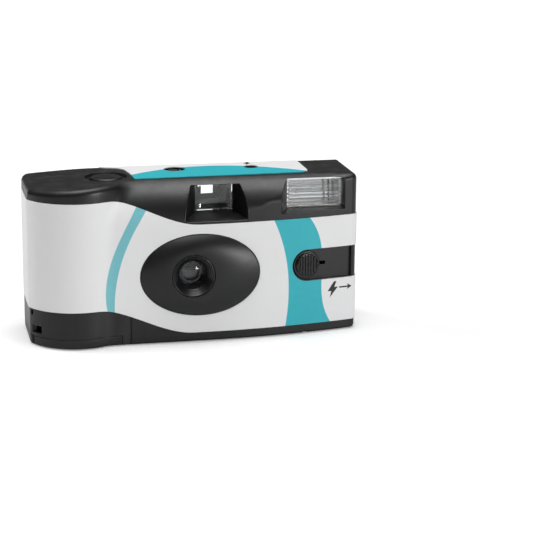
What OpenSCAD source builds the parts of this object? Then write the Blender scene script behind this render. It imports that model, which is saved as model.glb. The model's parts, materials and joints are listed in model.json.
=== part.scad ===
// Disposable film camera with flash, closed and wound back to its first frame.
// Millimetres, +Z up. The origin is on the floor under the middle of the body.
// +X points to the right as seen from the front, +Y to the back; the front faces -Y.

/* [Body] */
// Width of the moulded body
body_w = 117.2; // [116.4:0.2:121]
// Height of the moulded body without its top label
body_h = 57; // [56.8:0.1:59]
// Depth from the cassette axis to the flat part of the front
front_d = 16; // [15.8:0.1:17]
// Depth from the cassette axis to the back
back_d = 18.6; // [18.4:0.1:20]
// Radius of the grip round the film cassette
grip_r = 18.6; // [18.4:0.1:19.4]
// How far the left end cuts into the round of the grip
grip_cut = 1.4; // [0.8:0.1:1.6]
// Wall of the covers
wall = 1.5; // [1.3:0.1:1.6]
// Depth at which the two covers meet
split_y = 8.2; // [8:0.1:9.4]
// Open joint line between the two covers
split_gap = 0.12; // [0.05:0.01:0.25]
// Radius of the bowed right half of the front
bow_r = 240; // [220:5:300]
// Rounding of the upright corners
corner_r = 3; // [2.6:0.1:3.4]
// Hollow blend between grip and front
blend_r = 12; // [10:0.5:14]
// Rounding of the grip's upper edge
brow_r = 2; // [1.2:0.1:2.4]
// Rounding of the rear upright corners
rear_r = 4.2; // [2:0.1:4.6]
// Rounding of the rear upper edge
rear_brow = 2.4; // [1.4:0.1:2.6]
// Rounding of the lower edge
foot_r = 1; // [0.5:0.1:1.2]
// Fall of the top towards the left end
shoulder_drop = 1.7; // [0.6:0.1:1.8]
// Height of the sloping upper band
band_h = 14.5; // [14:0.1:15]

/* [Labels] */
// Thickness of the printed card
card_t = 0.3; // [0.2:0.05:0.5]
// Glue line under the card
glue_t = 0.08; // [0.06:0.01:0.15]
// Height of the lower edge of the front label, right half
card_low = 3.5; // [2.5:0.1:5]
// Height of its lower edge on the grip
card_low_grip = 13.4; // [11:0.2:15]
// Height of its upper edge on the grip
card_high_grip = 51.7; // [50:0.1:52.2]

/* [Lens] */
// Distance of the lens axis from the cassette axis
lens_from_grip = 39; // [38.6:0.1:40]
// Half width of the lens dome
dome_a = 21.1; // [20:0.1:21.6]
// Half height of the lens dome
dome_b = 14.4; // [13.4:0.1:14.8]
// Height of the dome over the front
dome_h = 3; // [2:0.1:3.6]
// Outer radius of the lens ring
ring_r = 7.5; // [7.2:0.1:7.6]
// Radius of the taking lens
lens_r = 4.4; // [4.2:0.1:4.6]
// Radius of the aperture
aperture_r = 1.6; // [1.2:0.1:2]

/* [Film] */
// Height of the cassette between its end faces
can_h = 43.2; // [43:0.1:43.4]
// Radius of the cassette
can_r = 12.6; // [12.4:0.1:12.7]
// Width of the film
film_w = 35; // [34.8:0.1:35]
// Thickness of the film
film_t = 0.14; // [0.12:0.01:0.16]
// Radius of the unexposed roll
roll_r = 8.6; // [7.6:0.1:8.8]
// Width of the film gate
gate_w = 36; // [34:0.5:36]
// Height of the film gate
gate_h = 24; // [22:0.5:24]

/* [Controls] */
// Radius of the release button
button_r = 5.45; // [5:0.05:5.6]
// Travel of the release button
press = 1.2; // [0.6:0.1:1.2]
// Distance of the thumbwheel's rim from the face of the grip
wheel_in = 3.2; // [3.1:0.1:3.8]
// Number of grooves round the thumbwheel
wheel_teeth = 48; // [36:4:60]
// Radius of the counter dial
dial_r = 10.2; // [9.6:0.1:10.2]
// Number of teeth round the counter dial
dial_teeth = 32; // [28:1:36]
// Radius of the flash slider's knob
knob_r = 4.2; // [3.8:0.1:4.4]
// Travel of the flash slider
slide_len = 11; // [8:0.5:11.5]

/* [Windows] */
// Width of the finder window
finder_w = 13.4; // [12:0.1:13.6]
// Height of the finder window
finder_h = 9.8; // [9:0.1:10]
// Width of the flash window
flash_w = 20.2; // [18:0.2:20.4]
// Height of the flash window
flash_h = 11.2; // [10.4:0.1:11.2]
// Radius of the counter window
count_r = 3.7; // [3.2:0.1:3.9]
// Radius of the ready lamp hole
lamp_r = 2.5; // [2.2:0.1:2.8]

/* [Flash unit] */
// Radius of the battery cell
cell_r = 5.25; // [5:0.05:5.3]
// Length of the battery cell with its nub
cell_l = 44.5; // [43.5:0.1:44.6]
// Radius of the flash capacitor
cap_r = 6.3; // [5.6:0.1:6.4]
// Length of the flash capacitor
cap_l = 32; // [28:0.5:34]

/* [Hidden] */
$fn = 48;
// clearance between pieces at rest
fit = 0.3;
// running clearance of shafts in their bores
run = 0.06;
xl = -body_w / 2;
xr = body_w / 2;
grip_x = xl + grip_r - grip_cut;
lens_x = grip_x + lens_from_grip;
door_h = 3.5;
door_x = grip_x + 14;
hinge_y = back_d - 3.2;
hinge_z = 1.5;
can_z0 = wall + 1.5;
can_z1 = can_z0 + can_h;
lens_z = (can_z0 + can_z1) / 2;
film_z0 = lens_z - film_w / 2;
film_z1 = lens_z + film_w / 2;
film_y = back_d - wall - 1.8;
deck_z0 = can_z1 + 0.4;
deck_t = 1.4;
deck_z1 = deck_z0 + deck_t;
top_in = body_h - wall;
band_z = body_h - band_h;
edge_y = sqrt(front_d * front_d - band_h * band_h);
bow_x = lens_x + 4;
bow_cy = bow_r - front_d;
wheel_z0 = deck_z1 + 1.5;
wheel_z1 = wheel_z0 + 3.1;
wheel_r = grip_r - wheel_in;
collar_r = 7.4;
sprocket_x = grip_x + 17.6;
sprocket_y = film_y - 6.3;
sprocket_z = film_z1 - 2.8;
dial_x = sprocket_x + 12.8;
dial_y = sprocket_y - 2.5;
dial_z0 = deck_z1 + 3.4;
dial_z1 = dial_z0 + 1.4;
count_x = dial_x + 6.4;
count_y = dial_y + 1.7;
button_x = grip_x + 11.3;
button_y = 1.5;
tube_t = 0.9;
finder_x = dial_x + dial_r + fit + tube_t + finder_w / 2;
finder_z1 = body_h - 2.4;
finder_z0 = finder_z1 - finder_h;
finder_y = -5.4;
flash_x1 = xr - 5.3;
flash_x0 = flash_x1 - flash_w;
flash_z1 = body_h - 1.1;
flash_z0 = flash_z1 - flash_h;
flash_y = -(edge_y + 0.7);
flash_t = 1;
supply_x = lens_x + 33.4;
supply_y = film_y - fit - roll_r;
supply_in = roll_r + 0.6;
supply_out = supply_in + 1;
lamp_x = lens_x + 25.6;
lamp_y = 7.8;
side_deck_z = film_z1 + 1.9;
board_y1 = supply_y - supply_out - 1.2;
board_y0 = board_y1 - 1.2;
board_x0 = lens_x + 26.9;
board_gap = 0.6;
// the board ends at the right wall, or sooner where the bowed front comes in
board_x1 = min(xr - wall - board_gap, bow_x + sqrt(pow(bow_r - wall - board_gap, 2)
    - pow(bow_cy - board_y0, 2)));
board_z1 = flash_z0 - 0.5;
cell_y = -(front_d - wall) + 1.25 + cell_r;
cell_z = wall + fit + 0.05 + cell_r;
cell_x0 = lens_x - 19.7;
cell_x1 = cell_x0 + cell_l;
plate_y0 = -front_d + 7.2;
plate_t = 1.4;
shoulder_x = grip_x + 8.4;
card_end = back_d - rear_r - 2.6;
card_back = back_d - rear_brow - 0.1;
// slider track, turned to lie along the bowed front
slot_x = xr - 19.1;
slot_z = lens_z + 0.6;
slot_turn = asin((slot_x + slide_len / 2 - bow_x) / bow_r);
slot_y = bow_cy - sqrt(bow_r * bow_r - (slot_x - bow_x) * (slot_x - bow_x));
slot_r = 5.5;
slot_deep = 1.4;
slot_floor = 1;
slot_end = 17.4;
stem_x = 4.8;
// shutter pivots
blade_x = lens_x + 8.4;
blade_z = lens_z + 7.4;
hammer_x = lens_x - 8;
hammer_z = lens_z + 13.4;
lever_x = sprocket_x + 6.3;
lever_y = sprocket_y - 8.5;
cam_r = 3.6;
pawl_x = grip_x + 17.9;
pawl_y = -8;
spring_x = button_x + 10.3;
spring_y = -4.2;
arm_z0 = max(wheel_z1 + press + fit, top_in - 1.4);

plastic = [0.14, 0.14, 0.15];
inner_plastic = [0.2, 0.2, 0.21];
clear = [0.8, 0.88, 0.92, 0.45];
steel = [0.72, 0.73, 0.75];
brass = [0.78, 0.62, 0.3];
white = [0.93, 0.94, 0.94];

function lerp(a, b, u) = a + (b - a) * u;
function ease(u) = let (v = min(max(u, 0), 1)) v * v * (3 - 2 * v);
function arc(c, r, a0, a1, n) =
    [for (i = [0:n]) let (a = lerp(a0, a1, i / n)) [c[0] + r * cos(a), c[1] + r * sin(a)]];
// fall of the top face at x
function drop(x) = shoulder_drop * pow(max(shoulder_x - x, 0) / (shoulder_x - xl), 1.2);
// inner face of the bowed front at x
function front_in(x) = bow_cy - sqrt(pow(bow_r - wall, 2) - pow(x - bow_x, 2));
// half depth of the sloping band at height z, for a band of radius r
function band(z, r) = z <= band_z ? r : sqrt(max(r * r - (z - band_z) * (z - band_z), 0.01));

left_c = let (x = xl + corner_r, d = grip_x - x)
    [x, -sqrt((grip_r - corner_r) * (grip_r - corner_r) - d * d)];
right_c = let (x = xr - corner_r, d = x - bow_x)
    [x, bow_cy - sqrt((bow_r - corner_r) * (bow_r - corner_r) - d * d)];
bow_a = asin((right_c[0] - bow_x) / (bow_r - corner_r));

// front outline from the left side round to the right side, moved in by t; yl is the half depth
// of the flat front or band, y0 where both sides end
function outline(t, yl, y0) =
    let (a1 = 360 + atan2(left_c[1], left_c[0] - grip_x),
        rf = blend_r + t,
        sum = grip_r + blend_r,
        fx = grip_x + sqrt(sum * sum - (yl + rf) * (yl + rf)),
        a2 = 360 + atan2(-(yl + rf), fx - grip_x),
        corner = arc(left_c, corner_r - t, 180, a1, 3),
        grip = arc([grip_x, 0], grip_r - t, a1, a2, 14),
        blend = arc([fx, -(yl + rf)], rf, a2 - 180, 90, 8),
        bow = [for (i = [0:16]) let (a = bow_a * i / 16,
            x = bow_x + (bow_r - t) * sin(a),
            y = bow_cy - (bow_r - t) * cos(a),
            w = ease((x - flash_x1 + 3) / 3.5))
            [x, lerp(max(-yl, y), y, w)]],
        right = arc(right_c, corner_r - t, 270 + bow_a, 360, 5))
    concat([[xl + t, y0]], corner,
        [for (i = [1:14]) grip[i]],
        [for (i = [1:8]) blend[i]],
        [for (i = [1:2]) [lerp(fx, bow_x, i / 3), -yl]],
        bow,
        [for (i = [1:5]) right[i]],
        [[xr - t, y0]]);

// level i of 7 up the sloping band as [z, inset, half depth], its skin moved out by s
band_a = asin((body_h - brow_r - band_z) / front_d);
function band_level(a, s) = [band_z + (front_d + s) * sin(a), -s, (front_d + s) * cos(a)];
body_levels = concat(
    [for (a = [0, 45, 90])
        [foot_r * (1 - cos(a)), foot_r * (1 - sin(a)), front_d - foot_r * (1 - sin(a))]],
    [for (i = [0:7]) band_level(band_a * i / 7, 0)],
    [for (a = [25, 50, 72, 90]) let (z = body_h - brow_r + brow_r * sin(a), t = brow_r * (1 - cos(a)))
        [z, t, band(z, front_d) - 0.25 * t]]);
room_levels = concat([[wall, wall, front_d - wall]],
    let (a = asin((top_in - band_z) / (front_d - wall)))
    [for (i = [0:5]) band_level(a * i / 5, -wall)]);
function card_levels(s) = concat([[card_low - 1, -s, front_d + s]],
    [for (i = [0:6]) band_level(band_a * i / 7, s)]);

// part of the fall of the top that a point at height z takes
function sink(z) = ease((z - band_z - 1) / (body_h - brow_r - band_z - 1));
function rings(levels, y0) = [for (l = levels) [for (p = outline(l[1], l[2], y0))
    [p[0], p[1], l[0] - drop(p[0]) * sink(l[0])]]];
// upright sections through the body, each closed at the back by two points at depth y0
function sections(levels, y0, z0, z1) = let (r = rings(levels, y0), n = len(r[0]))
    [for (i = [0:n - 1]) let (x = lerp(xl + 7, xr - 7, i / (n - 1)))
        concat([[x, y0, z0]], [for (ring = r) ring[i]], [[x, y0, z1 - drop(x)]])];

// solid skinned over closed sections with equal point counts; strip closes the ends of a thin
// sheet pair by pair
module loft(parts, flip = false, strip = false) {
    n = len(parts);
    m = len(parts[0]);
    sides = [for (i = [0:n - 2]) for (j = [0:m - 1])
        let (k = (j + 1) % m, a = i * m + j, b = (i + 1) * m + j, c = (i + 1) * m + k, d = i * m + k)
        each (flip ? [[a, b, c], [a, c, d]] : [[c, b, a], [d, c, a]])];
    up = strip ?
        [for (k = [0:m / 2 - 2]) each [[k, k + 1, m - 2 - k], [k, m - 2 - k, m - 1 - k]]] :
        [[for (j = [0:m - 1]) j]];
    down = [for (f = up) [for (i = [1:len(f)]) f[len(f) - i]]];
    last = [for (f = flip ? down : up) [for (j = f) (n - 1) * m + j]];
    polyhedron(points = [for (p = parts) each p],
        faces = concat(flip ? up : down, sides, last),
        convexity = 6);
}
// straight-sided funnel along Y between two rectangles [x0, x1, z0, z1]
module funnel(y0, a, y1, b) {
    loft([for (e = [[y0, a], [y1, b]]) let (y = e[0], r = e[1])
        [[r[0], y, r[2]], [r[1], y, r[2]], [r[1], y, r[3]], [r[0], y, r[3]]]]);
}
module box(x0, x1, y0, y1, z0, z1) {
    translate([x0, y0, z0])
    cube([x1 - x0, y1 - y0, z1 - z0]);
}
// children drawn round Z are turned to lie along Y through the point x, z
module along_y(x, z) {
    translate([x, 0, z])
    rotate([-90, 0, 0])
    children();
}
// children drawn in the plane are raised between z0 and z1
module upright(z0, z1) {
    translate([0, 0, z0])
    linear_extrude(z1 - z0)
    children();
}
// children drawn as x, z are given a depth between y0 and y1
module facing(y0, y1) {
    translate([0, y1, 0])
    rotate([90, 0, 0])
    linear_extrude(y1 - y0)
    children();
}
// children drawn as y, z run along X between x0 and x1
module lengthwise(x0, x1) {
    translate([x0, 0, 0])
    rotate([90, 0, 90])
    linear_extrude(x1 - x0)
    children();
}
module bar(p, q, w) {
    d = q - p;
    translate(p)
    rotate(atan2(d[1], d[0]))
    translate([0, -w / 2])
    square([norm(d), w]);
}
// coil of round wire standing on z = 0
module coil(r, wire, h, turns) {
    n = turns * 14;
    loft([for (i = [0:n]) let (a = 360 * turns * i / n, z = lerp(wire, h - wire, i / n))
        [for (j = [0:5]) let (q = r + wire * cos(60 * j))
            [q * cos(a), q * sin(a), z + wire * sin(60 * j)]]]);
}
// frame of the slider track: x along the track, y into the body
module on_track() {
    translate([slot_x, slot_y, slot_z])
    rotate([0, 0, slot_turn])
    children();
}
module stadium(r, l) {
    circle(r);
    translate([0, -r])
    square([l, 2 * r]);
}

module front_form() {
    loft(sections(body_levels, split_y, 0, body_h));
}
module front_room() {
    y = split_y + 1;
    difference() {
        loft(sections(room_levels, y, wall, top_in));
        // walls left standing round the finder, the flash and the slider track
        funnel(-front_d - 2, [finder_x - 15, finder_x + 13.4, finder_z0 - 3.2, body_h],
            finder_y, [finder_x - finder_w / 2 - 1.2, finder_x + finder_w / 2 + 1.2,
            finder_z0 - 1.2, body_h]);
        funnel(-front_d - 2, [flash_x0 - 7, xr, flash_z0 - 1.8, body_h],
            flash_y + flash_t + 0.1, [flash_x0 - 1.4, flash_x1 + 1.4, flash_z0 - 1.4, body_h]);
        on_track()
        box(-7.5, slot_end + 1.4, -2, slot_deep + slot_floor, -7.2, 7.2);
    }
}
dome_x = lens_x + 2.8;
dome_z = lens_z - 0.2;
module dome() {
    low = [[-front_d + 1.4, 0], [-front_d - 0.5, 0]];
    high = [for (u = [0.15, 0.35, 0.6, 0.85, 1])
        [-front_d - 0.5 - (dome_h - 0.5) * (1 - (1 - u) * (1 - u)), u]];
    loft([for (e = concat(low, high)) let (u = e[1])
        [for (j = [0:63]) let (a = j * 360 / 64)
            [lerp(dome_x, lens_x, u) + lerp(dome_a, ring_r + 1, u) * cos(a), e[0],
            lerp(dome_z, lens_z, u) + lerp(dome_b, ring_r + 1, u) * sin(a)]]], flip = true);
}
// room that the film door takes from both covers
module door_room() {
    box(xl - 1, door_x + 0.2, -grip_r - 1, hinge_y + 1.9, -1, door_h + 0.15);
}
module top_holes() {
    translate([button_x, button_y, body_h - 4])
    cylinder(r = button_r + 0.4, h = 6);
    // moat round the button
    translate([button_x, button_y, body_h - 1.1])
    cylinder(r1 = button_r + 1.6, r2 = button_r + 2.2, h = 1.2);
    translate([count_x, count_y, body_h - 4])
    cylinder(r = count_r, h = 6);
    translate([lamp_x, lamp_y, body_h - 4])
    cylinder(r = lamp_r, h = 6);
}
module front_cover() {
    color(plastic)
    difference() {
        union() {
            difference() {
                front_form();
                front_room();
            }
            dome();
        }
        // finder funnel
        funnel(-front_d - 1, [finder_x - 12.7, finder_x + 11, finder_z0 - 1.8, finder_z1 + 1.1],
            finder_y + 0.1, [finder_x - finder_w / 2, finder_x + finder_w / 2, finder_z0, finder_z1]);
        // flash recess and the seat of its window
        funnel(-front_d - 2, [flash_x0 - 5.4, flash_x1 + 1.6, flash_z0 - 0.6, flash_z1],
            flash_y, [flash_x0, flash_x1, flash_z0, flash_z1]);
        box(flash_x0, flash_x1, flash_y - 0.1, flash_y + 3, flash_z0, flash_z1);
        // slider track and the slit for its stem
        on_track() {
            facing(-3, slot_deep)
            stadium(slot_r, slot_end);
            box(-stem_x - 0.4, slide_len - stem_x + 1.4, 0, 5, -0.6, 0.6);
        }
        // bore of the lens ring
        along_y(lens_x, lens_z)
        translate([0, 0, -front_d - dome_h - 1])
        cylinder(r = ring_r + 0.2, h = dome_h + 3.6);
        top_holes();
        door_room();
        // stepped groove beside the grip, under the label
        upright(-1, card_low_grip - 3)
        polygon([[grip_x + 12.6, -front_d - 0.05], [door_x + 3.4, -front_d - 0.05],
            [door_x + 3.4, -front_d + 0.65]]);
        // snap windows at the left corner
        box(xl - 1, xl + 3.6, -13, -8.4, door_h + 1.3, door_h + 4);
        translate([grip_x, 0, 0])
        rotate([0, 0, 27.5])
        box(-grip_r - 1, -grip_r + 2.2, -0.7, 0.7, card_low_grip - 2.5, card_low_grip - 0.7);
        // small notch in the lower edge
        box(xr - 20.4, xr - 18.8, -front_d, -front_d + 4.6, -1, 0.7);
    }
}

module rear_plan(t) {
    r = rear_r;
    x = xr - t;
    y = back_d - t;
    polygon(concat([[-x, split_y - 2], [x, split_y - 2]],
        arc([x - r, y - r], r, 0, 90, 8), arc([-x + r, y - r], r, 90, 180, 8)));
}
// outline of the rear cover seen from the front, with the fallen left shoulder
module rear_face(t) {
    r = brow_r;
    x = xr - t;
    z = body_h - t;
    fall = [for (i = [0:8]) let (u = lerp(shoulder_x, -x + r, i / 8)) [u, z - drop(u)]];
    low = z - r - drop(-x);
    polygon(concat([[-x, t + foot_r], [-x + foot_r, t], [x - foot_r, t], [x, t + foot_r]],
        arc([x - r, z - r], r, 0, 90, 6), fall,
        [for (a = [110, 130, 150, 165, 180]) [-x + r + r * cos(a), low + r * sin(a)]]));
}
module rear_side(t) {
    r = rear_brow;
    y = back_d - t;
    z = body_h - t;
    polygon(concat([[split_y - 2, t], [y - 1.2, t], [y, t + 1.2]],
        arc([y - r, z - r], r, 0, 90, 6), [[split_y - 2, z]]));
}
module rear_form(y0, t) {
    intersection() {
        upright(-1, body_h + 1)
        rear_plan(t);
        facing(y0, back_d + 1)
        rear_face(t);
        lengthwise(xl - 1, xr + 1)
        rear_side(t);
    }
}
scoop_r = 13.6;
scoop_w = 10.5;
scoop_z0 = wheel_z0 - 1.1;
scoop_z1 = wheel_z1 + 1.7;
// ring sector round the cassette axis, behind it
module sector(r0, w, z0, z1) {
    difference() {
        box(grip_x - w, grip_x + w, 3, back_d + 2, z0, z1);
        translate([grip_x, 0, z0 - 1])
        cylinder(r = r0, h = z1 - z0 + 2);
    }
}
eye_w = 8.4;
eye_h = 5.6;
module rear_cover() {
    eye_z = (finder_z0 + finder_z1) / 2;
    color(plastic)
    difference() {
        union() {
            difference() {
                rear_form(split_y + split_gap, 0);
                difference() {
                    rear_form(split_y - 1, wall);
                    sector(scoop_r - 1.2, scoop_w + 1.2, scoop_z0 - 1.2, body_h);
                }
            }
            // ribs that press the film on its gate
            for (s = [-1, 1])
                box(lens_x - 19, lens_x + 19, film_y + film_t + 0.2, back_d - wall + 0.1,
                    lens_z + s * (film_w / 2 - 2.4) - 0.7, lens_z + s * (film_w / 2 - 2.4) + 0.7);
        }
        sector(scoop_r, scoop_w, scoop_z0, scoop_z1);
        // slot that lets the thumbwheel through
        translate([grip_x, 0, wheel_z0 - 0.3])
        cylinder(r = wheel_r + 0.4, h = wheel_z1 - wheel_z0 + 0.6);
        // eyepiece
        box(finder_x - eye_w / 2, finder_x + eye_w / 2, back_d - 4, back_d + 1,
            eye_z - eye_h / 2, eye_z + eye_h / 2);
        box(finder_x - eye_w / 2 - 1.8, finder_x + eye_w / 2 + 1.8, back_d - 0.7, back_d + 1,
            eye_z - eye_h / 2 - 1.5, eye_z + eye_h / 2 + 1.5);
        top_holes();
        difference() {
            door_room();
            // hinge lugs stay
            for (x = [grip_x - 7.6, grip_x + 4.6]) {
                box(x, x + 3, hinge_y, back_d, 0.3, 3.2);
                translate([x, hinge_y, hinge_z])
                rotate([0, 90, 0])
                cylinder(r = 1.4, h = 3);
            }
        }
        translate([grip_x - 8, hinge_y, hinge_z])
        rotate([0, 90, 0])
        cylinder(r = 0.8 + run, h = 16);
        // pry notch at the left edge
        box(xl - 1, xl + 1.2, card_end + 0.2, back_d - rear_r + 2, 21, 28);
    }
}
module film_door() {
    color(plastic) {
        difference() {
            union() {
                intersection() {
                    front_form();
                    box(xl - 1, door_x, -grip_r - 1, split_y, -1, door_h);
                }
                intersection() {
                    rear_form(split_y, 0);
                    box(xl - 1, door_x, split_y - 1, hinge_y - 1.7, -1, door_h);
                }
            }
            // hollow over the door plate
            translate([grip_x, 0, wall])
            cylinder(r = grip_r - wall, h = 5);
            box(xl + wall, door_x + 1, -2, back_d, wall, 6);
            box(grip_x, door_x + 1, -front_d + wall, 0, wall, 6);
            // finger notch at the left corner
            box(xl - 1, xl + 1.7, -9.6, -8.2, -1, door_h + 1);
        }
        for (x = [grip_x - 12, grip_x + 8]) {
            translate([x, hinge_y, hinge_z])
            rotate([0, 90, 0])
            cylinder(r = 1.4, h = 4);
            box(x, x + 4, hinge_y - 2, hinge_y, 0.1, wall);
        }
        translate([grip_x - 8, hinge_y, hinge_z])
        rotate([0, 90, 0])
        cylinder(r = 0.8, h = 2.6);
        translate([grip_x + 5.4, hinge_y, hinge_z])
        rotate([0, 90, 0])
        cylinder(r = 0.8, h = 2.6);
    }
}

// edges of the front label along x
function card_top(x) = lerp(card_high_grip, band_z - 0.1, ease((x - lens_x + 30.6) / 33));
function card_foot(x) = lerp(card_low_grip, card_low, ease((x - lens_x + 34.6) / 35));
module front_label() {
    y0 = card_end;
    outer = rings(card_levels(glue_t + card_t), y0);
    inner = rings(card_levels(glue_t), y0);
    n = len(outer[0]);
    m = len(outer);
    color(white)
    difference() {
        intersection() {
            loft([for (i = [0:n - 1]) concat([for (k = [0:m - 1]) outer[k][i]],
                [for (k = [1:m]) inner[m - k][i]])], strip = true);
            facing(-grip_r - 2, back_d)
            polygon(concat([[xr + 2, card_low], [xr + 2, band_z - 0.1]],
                [for (i = [0:32]) let (x = lerp(lens_x + 3, xl - 2, i / 32)) [x, card_top(x)]],
                [for (i = [0:32]) let (x = lerp(xl - 2, lens_x + 3, i / 32)) [x, card_foot(x)]]));
        }
        // clear of the dome and of the slider track
        facing(-grip_r - 3, -5)
        polygon([for (j = [0:63]) let (a = j * 360 / 64)
            [dome_x + (dome_a + 0.35) * cos(a), dome_z + (dome_b + 0.35) * sin(a)]]);
        on_track()
        facing(-3, 5)
        stadium(slot_r + 0.3, 24);
    }
}
module top_label() {
    color(white)
    upright(body_h + 0.02, body_h + 0.02 + card_t)
    difference() {
        polygon(concat([[button_x - 0.6, card_back], [button_x + 1.4, card_back - 1.3],
            [button_x + 5.6, card_back - 2.9], [button_x + 7.8, button_y + 9.1],
            [button_x + 8.8, button_y + 2.5], [button_x + 9.1, -edge_y + 1]],
            arc([xr - 20.6, -edge_y + 6.2], 4, 270, 360, 6), [[xr - 16.5, card_back]]));
        translate([count_x, count_y])
        circle(count_r + 0.15);
        translate([lamp_x, lamp_y])
        circle(lamp_r + 0.15);
    }
}

module release_button() {
    color(plastic) {
        translate([button_x, button_y, 0])
        rotate_extrude()
        polygon(concat([[0, arm_z0], [button_r, arm_z0], [button_r, body_h - 0.5]],
            [for (i = [1:6]) let (u = i / 6) [button_r * (1 - 0.1 * u * u) - 0.1 * i,
                body_h - 0.5 + 0.5 * sin(90 * u)]],
            [[button_r * 0.6, body_h + 0.15], [0, body_h + 0.1]]));
        // arm over the thumbwheel, with the leg that trips the metering lever
        box(button_x, button_x + 11.9, -6, 2, arm_z0, top_in - 0.25);
        box(button_x + 6.7, button_x + 7.7, -2, 0, deck_z1 + press + 1.3, arm_z0 + 0.1);
    }
}
module release_spring() {
    color(steel)
    translate([spring_x, spring_y, deck_z1 + 0.05])
    coil(1.5, 0.2, arm_z0 - deck_z1 - 0.1, 5);
}
module flash_slider() {
    color(plastic)
    on_track() {
        difference() {
            along_y(0, 0)
            rotate_extrude()
            polygon([[0, -0.7], [knob_r - 0.5, -0.7], [knob_r, -0.2], [knob_r, slot_deep - 0.1],
                [0, slot_deep - 0.1]]);
            for (i = [-3:3])
                box(i * 1.05 - 0.25, i * 1.05 + 0.25, -1.2, -0.25, -knob_r, knob_r);
        }
        // base disc, and the stem under its left end
        along_y(0, 0)
        rotate_extrude()
        polygon([[0, slot_deep - 0.9], [slot_r - 0.6, slot_deep - 0.9], [slot_r - 0.35, slot_deep - 0.65],
            [slot_r - 0.35, slot_deep - 0.1], [0, slot_deep - 0.1]]);
        box(-stem_x, -stem_x + 1, slot_deep - 0.2, slot_deep + slot_floor + 0.2, -0.45, 0.45);
        box(-stem_x - 0.2, 4.6, slot_deep + slot_floor + 0.1, slot_deep + slot_floor + 0.8, -4, 4);
    }
}
module slider_contact() {
    color(brass)
    on_track()
    difference() {
        y = slot_deep + slot_floor + 0.85;
        box(-4, 4, y, y + 0.25, -3, 3);
        box(-3, 3, y - 1, y + 1, -1, 1);
    }
}
module counter_window() {
    color(clear)
    translate([count_x, count_y, 0]) {
        upright(top_in - 0.9, top_in - 0.1)
        circle(count_r + 0.25);
        upright(top_in - 0.2, body_h - 0.35)
        circle(count_r - 0.05);
    }
}
module flash_window() {
    y = flash_y + 0.02;
    n = 8;
    h = (flash_h - 1.2) / n;
    color(clear)
    lengthwise(flash_x0 + 0.06, flash_x1 - 0.06)
    polygon(concat([[y + flash_t, flash_z0 + 0.06], [y + flash_t, flash_z1 - 0.06],
        [y, flash_z1 - 0.06]],
        [for (i = [0:n]) each [[y, flash_z1 - 0.6 - i * h],
            if (i < n) [y + 0.4, flash_z1 - 0.6 - (i + 0.5) * h]]],
        [[y, flash_z0 + 0.06]]));
}
module finder_front_lens() {
    z = (finder_z0 + finder_z1) / 2;
    color(clear)
    difference() {
        box(finder_x - finder_w / 2 + 0.05, finder_x + finder_w / 2 - 0.05, finder_y + 0.3,
            finder_y + 2.2, finder_z0 + 0.05, finder_z1 - 0.05);
        translate([finder_x, finder_y - 23.4, z])
        sphere(r = 24.6, $fn = 240);
    }
}
module finder_rear_lens() {
    z = (finder_z0 + finder_z1) / 2;
    y = back_d - wall - 2;
    color(clear) {
        box(finder_x - finder_w / 2 + 0.05, finder_x + finder_w / 2 - 0.05, y, y + 0.8,
            finder_z0 + 0.05, finder_z1 - 0.05);
        intersection() {
            translate([finder_x, y + 15, z])
            sphere(r = 16, $fn = 200);
            box(finder_x - 6, finder_x + 6, y - 1, y + 0.4, z - 4, z + 4);
        }
    }
}
module finder_tube() {
    a = finder_w / 2;
    z = (finder_z0 + finder_z1) / 2;
    mask_y = back_d - wall - 4.2;
    color(inner_plastic)
    difference() {
        box(finder_x - a - tube_t, finder_x + a + tube_t, finder_y + 0.2, back_d - wall - 1.3,
            finder_z0 - tube_t, finder_z1 + 0.6);
        box(finder_x - a, finder_x + a, finder_y, mask_y, finder_z0, finder_z1);
        box(finder_x - a, finder_x + a, mask_y + 0.8, back_d, finder_z0, finder_z1);
        // opening of the mask before the eyepiece
        box(finder_x - 3.1, finder_x + 3.1, mask_y - 1, mask_y + 2, z - 2.3, z + 2.3);
    }
}

ring_y = -front_d - dome_h;
seat_y = plate_y0 - 4.4;
module lens_ring() {
    color(plastic)
    along_y(lens_x, lens_z)
    rotate_extrude($fn = 72)
    polygon([[lens_r - 0.4, seat_y], [4.9, ring_y + 2.4], [5.3, ring_y + 1.8],
        [ring_r - 0.7, ring_y + 0.35], [ring_r - 0.4, ring_y + 0.1], [ring_r - 0.15, ring_y + 0.1],
        [ring_r, ring_y + 0.25], [ring_r, plate_y0 - 2.1], [ring_r + 1.9, plate_y0 - 2.1],
        [ring_r + 1.9, plate_y0 - 1.2], [lens_r + 0.04, plate_y0 - 1.2], [lens_r + 0.04, seat_y]]);
}
module taking_lens() {
    a = lens_r - 0.5;
    color(clear)
    along_y(lens_x, lens_z)
    rotate_extrude($fn = 72)
    polygon(concat([for (i = [0:8]) let (u = i / 8) [a * u, seat_y - 0.05 - 0.9 * (1 - u * u)]],
        [[a, seat_y + 0.03], [lens_r, seat_y + 0.03], [lens_r, seat_y + 1.5]],
        [for (i = [0:8]) let (u = 1 - i / 8) [3 * u, seat_y + 1.5 - 0.5 * (1 - u * u)]]));
}
module lens_retainer() {
    color(inner_plastic)
    along_y(lens_x, lens_z)
    translate([0, 0, seat_y + 1.55])
    difference() {
        cylinder(r = lens_r, h = plate_y0 - 1.25 - seat_y - 1.55);
        translate([0, 0, -1])
        cylinder(r = 3.1, h = 8);
    }
}
module aperture_plate() {
    color(steel)
    facing(plate_y0 - 0.32, plate_y0 - 0.02)
    translate([lens_x, lens_z])
    difference() {
        circle(5);
        circle(aperture_r);
    }
}
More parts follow.
